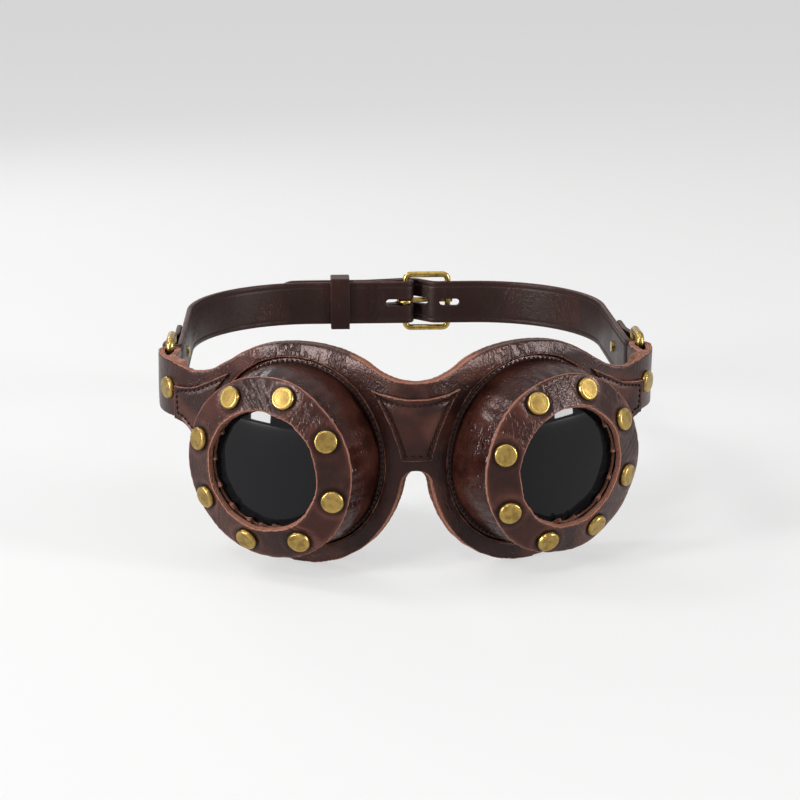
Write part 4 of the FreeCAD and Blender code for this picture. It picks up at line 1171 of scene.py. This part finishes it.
CAP_PROFILE = ((0.0, 1.64), (0.9, 1.635), (1.7, 1.62), (2.3, 1.60), (2.7, 1.59), (2.95, 1.595),
               (3.15, 1.61), (3.32, 1.60), (3.48, 1.55), (3.64, 1.43), (3.78, 1.21),
               (3.90, 0.90), (3.97, 0.62), (4.0, 0.38), (4.0, 0.14), (3.9, 0.0), (0.0, 0.0))
CAP_PROFILE_SIZE = (4.0, 1.7)
CAP_TURNS = 48
CAP_SINK, TAB_CAP_SINK = 0.16, 0.05
TAB_RIVET_YAW = math.radians(59)
STRAP_RIVET = (86.1, 11.42)
METAL_NODES = ("left_side_ring", "right_side_ring", "buckle_frame", "buckle_tongue",
               "left_rivet_posts", "right_rivet_posts", "tab_rivet_posts", "strap_rivet_posts")


def cap_object():
    """One rivet cap: a faint dome inside a rubbed rim that turns down at its edge."""
    wide, tall = CAP_PROFILE_SIZE
    profile = np.array(CAP_PROFILE) * np.array([mm("cap_radius") / wide, mm("cap_height") / tall])
    turns = round_turns(CAP_TURNS)
    rings = np.array([[(r * math.cos(t), r * math.sin(t), z) for t in turns]
                      for r, z in profile[1:-1]])
    cap = turned("rivet_cap", rings, [(0, 0, profile[0, 1]), (0, 0, profile[-1, 1])])
    away = np.array([v.co.xy.length for v in cap.data.vertices]) / MM
    mark(cap, dent=0.8 * smooth_step(3.65, 4.0, away) + 0.30 * (1 - smooth_step(2.5, 3.1, away)))
    return cap


def rivets(name, seats, body, node):
    """Caps on their seats; a seat is a point in millimetres and an outward axis."""
    mesh = bpy.data.meshes.new(name)
    mesh.from_pydata([tuple(np.asarray(place) * MM) for place, _ in seats], [], [])
    axes = mesh.attributes.new("axis", "FLOAT_VECTOR", "POINT")
    axes.data.foreach_set("vector", np.array([axis for _, axis in seats], np.float32).ravel())
    thing = new_object(name, mesh)
    cap = cap_object()
    through_tree(thing, rivet_tree(), {"Cap": cap, "Material": brass()})
    bpy.data.objects.remove(cap)
    settle(thing, body, [node])


def ring_seats(side):
    """Seats round a front ring, a little sunk into its leather."""
    cup = Cup(side)
    slope = sizes().cone_angle
    seats = []
    for turn in rivet_phase(side) + np.arange(RIVETS) * FULL_TURN / RIVETS:
        spread = cup.across * math.cos(turn) + cup.up * math.sin(turn)
        axis = spread * math.sin(slope) + cup.out * math.cos(slope)
        seat = cup.point(mm("rivet_circle"), turn, mm("ring_height"))
        seats.append((seat - axis * CAP_SINK, axis))
    return seats


class GOGGLES_OT_rivets(bpy.types.Operator):
    """Sets the brass cap rivets"""
    bl_idname = "goggles.rivets"
    bl_label = "Rivets"

    def execute(self, context):
        for side in SIDES:
            rivets(f"{side}_ring_rivets", ring_seats(side), "mask", f"{side}_rivet_caps")
        plan = Plan()
        tabs, straps = [], []
        for sign in SIDES.values():
            axis = np.array([math.sin(TAB_RIVET_YAW) * sign, -math.cos(TAB_RIVET_YAW), 0.0])
            seat = np.array([plan.temple_centre[0] * sign, plan.temple_centre[1], mm("tab_level")])
            tabs.append((seat + axis * (plan.temple - TAB_CAP_SINK), axis))
            straps.append(((STRAP_RIVET[0] * sign, STRAP_RIVET[1], mm("tab_level")),
                           (sign, 0.0, 0.0)))
        rivets("tab_rivets", tabs, "mask", "tab_rivet_caps")
        rivets("strap_rivets", straps, "back_strap", "strap_rivet_caps")
        return {"FINISHED"}


class GOGGLES_OT_metal(bpy.types.Operator):
    """Ages the brass of rings, buckle and rivet backs"""
    bl_idname = "goggles.metal"
    bl_label = "Rings and buckle"

    def execute(self, context):
        for node in METAL_NODES:
            paint_piece(NODES[node], brass())
        return {"FINISHED"}


# Stitches

STITCH_SLANT = 0.10
LEDGE_RADIUS, LEDGE_STEPS = 32.35, 181
BUCKLE_ROWS, BUCKLE_ROW_HALF = (-10.1, -7.1), 6.75
SEAM_PROUD = 0.02


def stitch_rows(name, rows, body):
    """Stitches along rows of points in millimetres."""
    points, edges = [], []
    for row in rows:
        start = len(points)
        points += [tuple(np.asarray(p) * MM) for p in row]
        edges += [(start + n, start + n + 1) for n in range(len(row) - 1)]
    mesh = bpy.data.meshes.new(name)
    mesh.from_pydata(points, edges, [])
    thing = new_object(name, mesh)
    through_tree(thing, stitch_tree(), {
        "Stitch length": sizes().stitch_length, "Pitch": sizes().stitch_pitch,
        "Thread": sizes().thread, "Slant": STITCH_SLANT, "Material": waxed_thread()})
    settle(thing, body)


def ledge_row(side):
    """The row on the ledge between the mask's opening and the cup."""
    turns = np.linspace(0, FULL_TURN, LEDGE_STEPS)
    return Cup(side).point(LEDGE_RADIUS, turns, WELT_TOP + SEAM_PROUD)


def buckle_rows():
    """Two rows across the inside of the strap, which hold its fold at the buckle."""
    heights = np.linspace(-BUCKLE_ROW_HALF, BUCKLE_ROW_HALF, 20) + mm("tab_level")
    inside = STRAP_Y - STRAP_THICK / 2 - SEAM_PROUD
    return [[(x, inside, z) for z in heights] for x in BUCKLE_ROWS]


class GOGGLES_OT_stitches(bpy.types.Operator):
    """Sews patches, cups and strap"""
    bl_idname = "goggles.stitches"
    bl_label = "Stitches"

    def execute(self, context):
        stitch_rows("bridge_stitches", bridge_rows(), "mask")
        for side in SIDES:
            stitch_rows(f"{side}_temple_stitches", temple_rows(side), "mask")
            stitch_rows(f"{side}_cup_stitches", [ledge_row(side)], "mask")
        stitch_rows("buckle_stitches", buckle_rows(), "back_strap")
        return {"FINISHED"}


# Strap: its line in plan is corners (x, y, radius), its section stands on edge

STRAP_THICK, STRAP_WIDE, STRAP_ROUNDING = 2.0, 18.0, 0.55
STRAP_STEP, SECTION_STEP = 0.9, 0.35
RING_X, STRAP_X, STRAP_Y, LAYER = 85.8, 83.0, 95.5, 2.1
BEND, FOLD_SLACK = 5, 0.09
REAR_BAR_Y, RING_FOLD = -12.58, 2.8
RING_LEAD, RING_SLOPE, RING_TAIL = 1.5, 18, 30
REAR_FLAT = 34.0
BAR, BUCKLE_FOLD, BUCKLE_Y, OVER_Y, TIP_Y = 6.0, 2.55, 98.05, 102.9, 99.9
BAR_EDGE, CROSSING = BAR - 1.25, BAR + 8
BUCKLE_SLOPE, BUCKLE_TAIL, TIP_SLOPE = 14, 22, 17
TIP_TURN, TIP_ROUND = math.radians(16), 9.0
TONGUE_Y, TONGUE_LEAD = 100.38, 1.2
TONGUE_SLOT, HOLE, HOLE_PITCH = (8.5, 3.0), (4.25, 3.0), 13.0  # half length and width
CREASE_INSET, CREASE_DEPTH, CREASE_WIDTH = 2.1, 0.24, 0.34
STRAP_WAVES = Waves(24.0, 80)
KEEPER_VOXEL, KEEPER_PASSES, KEEPER_SPARE = 0.3, 4, 4


def ring_end(sign):
    """The strap's end at the ring: doubled outside, round the bar and back inside."""
    turn = RING_FOLD - FOLD_SLACK
    line = [(STRAP_X + LAYER, REAR_BAR_Y + RING_TAIL, 0),
            (STRAP_X + LAYER, REAR_BAR_Y + RING_SLOPE, BEND),
            (RING_X + RING_FOLD, REAR_BAR_Y + RING_LEAD, BEND),
            (RING_X + RING_FOLD, REAR_BAR_Y - RING_FOLD, turn),
            (STRAP_X, REAR_BAR_Y - RING_FOLD, turn),
            (STRAP_X, STRAP_Y, STRAP_X - REAR_FLAT)]
    return [(sign * x, y, radius) for x, y, radius in line]


def buckle_tail():
    """The left half's end: round the buckle's bar and back outside."""
    turn = BUCKLE_FOLD - FOLD_SLACK
    return [(BAR + BUCKLE_FOLD, STRAP_Y, turn), (BAR + BUCKLE_FOLD, BUCKLE_Y + BUCKLE_FOLD, turn),
            (BAR_EDGE, BUCKLE_Y + BUCKLE_FOLD, BEND), (BAR - BUCKLE_SLOPE, STRAP_Y + LAYER, BEND),
            (BAR - BUCKLE_TAIL, STRAP_Y + LAYER, 0)]


def tip_tail():
    """The right half's end: over the bar, then outside the left half round the bend."""
    step = (OVER_Y - STRAP_Y) / 2
    bend = STRAP_X - REAR_FLAT + TIP_Y - STRAP_Y
    lead = bend * math.tan(TIP_TURN / 2)
    end = lead + STRAP_THICK
    return [(CROSSING + step, STRAP_Y, BEND), (CROSSING - step, OVER_Y, BEND),
            (BAR_EDGE, OVER_Y, BEND), (BAR - TIP_SLOPE, TIP_Y, BEND),
            (-(REAR_FLAT + lead), TIP_Y, bend),
            (-(REAR_FLAT + lead + end * math.cos(TIP_TURN)), TIP_Y - end * math.sin(TIP_TURN), 0)]


def edge_crease(off, wide):
    """1 in the line that is creased along each edge of a strap, 0 elsewhere."""
    return bell(np.abs(off) - (wide / 2 - CREASE_INSET), CREASE_WIDTH)


def strip(name, corners, level, tip=0.0):
    """The strap along a level line, with softly rounded edges and an optional round tip."""
    line = rounded_line(corners, STRAP_STEP)
    section = rounded_line(box_corners(STRAP_THICK / 2, STRAP_WIDE / 2, STRAP_ROUNDING),
                           SECTION_STEP, closed=True)
    crease = CREASE_DEPTH * edge_crease(section[:, 1], STRAP_WIDE)
    across = section[:, 0] - np.sign(section[:, 0]) * crease
    ahead = np.gradient(line, axis=0)
    ahead /= np.linalg.norm(ahead, axis=1)[:, None]
    out = np.column_stack([ahead[:, 1], -ahead[:, 0]])
    narrow = np.ones(len(line))
    if tip:
        run = run_along(line)
        near = np.clip((run - (run[-1] - tip)) / tip, 0, 0.995)
        narrow = np.sqrt(1 - near ** 2)
    flat = line[:, None, :] + out[:, None, :] * across[None, :, None]
    tall = level + section[None, :, 1] * narrow[:, None]
    points = np.concatenate([flat, tall[..., None]], axis=-1)
    rows, loop = points.shape[:2]
    faces = grid_faces(rows, loop, closed=False)
    faces += [list(range(loop))[::-1], list(range((rows - 1) * loop, rows * loop))]
    return mesh_object(name, points.reshape(-1, 3), faces)


def dress_strap(thing, level, wide, edges=2, creased=True):
    """Marks the cut edges, which face along one axis, the rubbed spots, and painted shade in the
    creased lines.
    """
    points, normals = read_mesh(thing)
    off = points[:, 2] - level
    blotch = smooth_step(0.0, 1.5, STRAP_WAVES(points))
    rubbed = smooth_step(wide / 2 - 1.6, wide / 2 - 0.3, np.abs(off))
    mark(thing, raw=smooth_step(0.55, 0.85, np.abs(normals[:, edges])) * 0.42,
         layer=(points[:, 0] * 0.4 + points[:, 1] * 0.4) % 1.0,
         worn=0.7 * np.maximum(blotch, rubbed), crackle=0.15 + 0.45 * blotch)
    if creased:
        # Painted shade in the creased lines along the edges.
        mark(thing, dull=0.6 * edge_crease(off, wide))


def slot_cutter(places, half, wide, level):
    """Oblong punches along X through the strap's back."""
    work = bmesh.new()
    for middle in places:
        ring = rounded_line(box_corners(half, wide / 2, wide / 2 - 0.01, middle), 0.5, closed=True)
        rows = [[work.verts.new((x * MM, y * MM, (z + level) * MM)) for x, z in ring]
                for y in (STRAP_Y - 4, OVER_Y + 4)]
        for n in range(len(ring)):
            m = (n + 1) % len(ring)
            work.faces.new((rows[0][n], rows[0][m], rows[1][m], rows[1][n]))
        work.faces.new(rows[0][::-1])
        work.faces.new(rows[1])
    bmesh.ops.recalc_face_normals(work, faces=work.faces)
    mesh = bpy.data.meshes.new("punch")
    work.to_mesh(mesh)
    work.free()
    return new_object("punch", mesh)


def punched(thing, places, size, level):
    """Cuts slots of one size through the strap."""
    cutter = slot_cutter(places, *size, level)
    cut = thing.modifiers.new("punch", "BOOLEAN")
    cut.operation = "DIFFERENCE"
    cut.solver = "EXACT"
    cut.object = cutter
    baked(thing)
    bpy.data.objects.remove(cutter)


class GOGGLES_OT_strap(bpy.types.Operator):
    """Cuts the back strap's halves and the keeper"""
    bl_idname = "goggles.strap"
    bl_label = "Strap"

    def execute(self, context):
        level = mm("tab_level")
        left = strip("left_strap_hide", ring_end(-1) + buckle_tail(), level)
        punched(left, [BAR], TONGUE_SLOT, level)
        right = strip("right_strap_hide", ring_end(1) + tip_tail(), level, tip=TIP_ROUND)
        used = CROSSING - (TONGUE_Y - (STRAP_Y + OVER_Y) / 2) - TONGUE_LEAD
        punched(right, [used + n * HOLE_PITCH for n in (-2, -1, 0, 1)], HOLE, level)
        for side, thing in (("left", left), ("right", right)):
            dress_strap(thing, level, STRAP_WIDE)
            settle(thing, "back_strap", [f"{side}_strap"], leather("strap"))
        keeper = remeshed("keeper_hide", "strap_keeper", KEEPER_VOXEL, KEEPER_PASSES)
        dress_strap(keeper, level, STRAP_WIDE + KEEPER_SPARE, edges=0, creased=False)
        settle(keeper, "keeper", ["strap_keeper"], leather("strap"))
        return {"FINISHED"}


# Stage

CAMERA = {"distance": 0.735, "elevation": 15.14, "azimuth": -2.88, "lens": 86.74,
          "target": (0.0, 0.0, -0.00135), "shift": -0.0037}
LAMPS = {  # place, size and power
    "left_strip": ((-1.60, -0.96, 0.40), (0.28, 0.84), 41.0),
    "right_strip": ((1.64, -0.88, 0.40), (0.28, 0.84), 30.0),
    "key": ((-0.35, -0.70, 0.80), (0.20, 0.20), 2.2),
    "upper_left": ((-0.64, 0.12, 0.74), (0.24, 0.24), 2.3),
    "back": ((-0.40, 0.80, 0.50), (0.30, 0.30), 1.7),
}
SKY_POWER, SKY_ANGLE = 0.65, math.radians(55)
WORLD_LIGHT, WORLD_SEEN = 0.18, 0.70
FLOOR_HALF, FLOOR_ROUGHNESS, FLOOR_GLOW = 9.0, 0.85, 0.5


def stage_camera():
    """The photograph's camera."""
    data = bpy.data.cameras.new("camera")
    data.sensor_width = 36.0
    data.lens = CAMERA["lens"]
    data.shift_x = CAMERA["shift"]
    data.clip_start = 0.01
    rise, turn = math.radians(CAMERA["elevation"]), math.radians(CAMERA["azimuth"])
    back = Vector((math.sin(turn) * math.cos(rise), -math.cos(turn) * math.cos(rise),
                   math.sin(rise)))
    camera = new_object("camera", data)
    camera.location = Vector(CAMERA["target"]) + back * CAMERA["distance"]
    camera.rotation_euler = back.to_track_quat("Z", "Y").to_euler()
    bpy.context.scene.camera = camera


def stage_lamps():
    """A soft light from above, and lamps that face the goggles."""
    sky = bpy.data.lights.new("sky", "SUN")
    sky.energy = SKY_POWER
    sky.angle = SKY_ANGLE
    new_object("lamp_sky", sky)
    for name, (place, size, power) in LAMPS.items():
        data = bpy.data.lights.new(name, "AREA")
        data.shape = "RECTANGLE"
        data.size, data.size_y = size
        data.energy = power
        lamp = new_object(f"lamp_{name}", data)
        lamp.location = place
        lamp.rotation_euler = Vector(place).to_track_quat("Z", "Y").to_euler()


def seen_rays(paint):
    """1 for what the camera, a reflection or glass sees, 0 for light that falls on the object."""
    path = paint.add("ShaderNodeLightPath").outputs
    seen = paint.math("MAXIMUM", path["Is Camera Ray"], path["Is Glossy Ray"])
    return paint.math("MAXIMUM", seen, path["Is Transmission Ray"])


def stage_floor():
    """A pale floor under the goggles, lighter where it is seen than in the light it gives."""
    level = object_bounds()[0].z
    half = FLOOR_HALF
    mesh = bpy.data.meshes.new("floor")
    mesh.from_pydata([(-half, -half, level), (half, -half, level), (half, half, level),
                      (-half, half, level)], [], [(0, 1, 2, 3)])
    floor = new_object("floor", mesh)
    material, paint, shader = new_material("Goggles floor")
    paint.fill(shader, {"Base Color": tint("floor"), "Roughness": FLOOR_ROUGHNESS})
    glow = paint.add("ShaderNodeEmission", {"Color": WHITE})
    blend = paint.add("ShaderNodeMixShader", {
        0: paint.times(seen_rays(paint), FLOOR_GLOW), 1: shader.outputs["BSDF"],
        2: glow.outputs["Emission"]})
    paint.fill(material.node_tree.nodes["Material Output"], {"Surface": blend.outputs["Shader"]})
    paint_piece(floor, material)
    floor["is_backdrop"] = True


def stage_world():
    """A pale surrounding that shows in reflections and lights the rest only softly."""
    world = bpy.data.worlds.new("studio")
    bpy.context.scene.world = world
    world.use_nodes = True
    paint = Paint(world.node_tree)
    extra = paint.times(seen_rays(paint), WORLD_SEEN - WORLD_LIGHT)
    paint.fill(world.node_tree.nodes["Background"], {
        "Color": WHITE, "Strength": paint.plus(extra, WORLD_LIGHT)})
    bpy.context.scene.view_settings.view_transform = "Standard"


class GOGGLES_OT_stage(bpy.types.Operator):
    """Sets the floor, the lamps and the camera"""
    bl_idname = "goggles.stage"
    bl_label = "Stage"

    def execute(self, context):
        stage_world()
        stage_floor()
        stage_lamps()
        stage_camera()
        return {"FINISHED"}


# Panel and start

OPERATORS = (GOGGLES_OT_mask, GOGGLES_OT_patches, GOGGLES_OT_front_rings, GOGGLES_OT_cups,
             GOGGLES_OT_lenses, GOGGLES_OT_rivets, GOGGLES_OT_metal, GOGGLES_OT_stitches,
             GOGGLES_OT_strap, GOGGLES_OT_stage)


class GOGGLES_PT_panel(bpy.types.Panel):
    """Lists the steps, the sizes and the colours"""
    bl_idname = "GOGGLES_PT_panel"
    bl_label = "Goggles"
    bl_space_type = "VIEW_3D"
    bl_region_type = "UI"
    bl_category = "Goggles"

    def draw(self, context):
        for operator in OPERATORS:
            self.layout.operator(operator.bl_idname)
        for group in (context.scene.goggles_sizes, context.scene.goggles_colours):
            box = self.layout.box()
            for name in group.__annotations__:
                box.prop(group, name)


CLASSES = (GogglesSizes, GogglesColours, *OPERATORS, GOGGLES_PT_panel)


def register():
    for item in CLASSES:
        bpy.utils.register_class(item)
    bpy.types.Scene.goggles_sizes = PointerProperty(type=GogglesSizes)
    bpy.types.Scene.goggles_colours = PointerProperty(type=GogglesColours)


def unregister():
    del bpy.types.Scene.goggles_colours
    del bpy.types.Scene.goggles_sizes
    for item in reversed(CLASSES):
        bpy.utils.unregister_class(item)


def main():
    register()
    for operator in OPERATORS:
        group, name = operator.bl_idname.split(".")
        getattr(getattr(bpy.ops, group), name)()


if __name__ == "__main__":
    main()
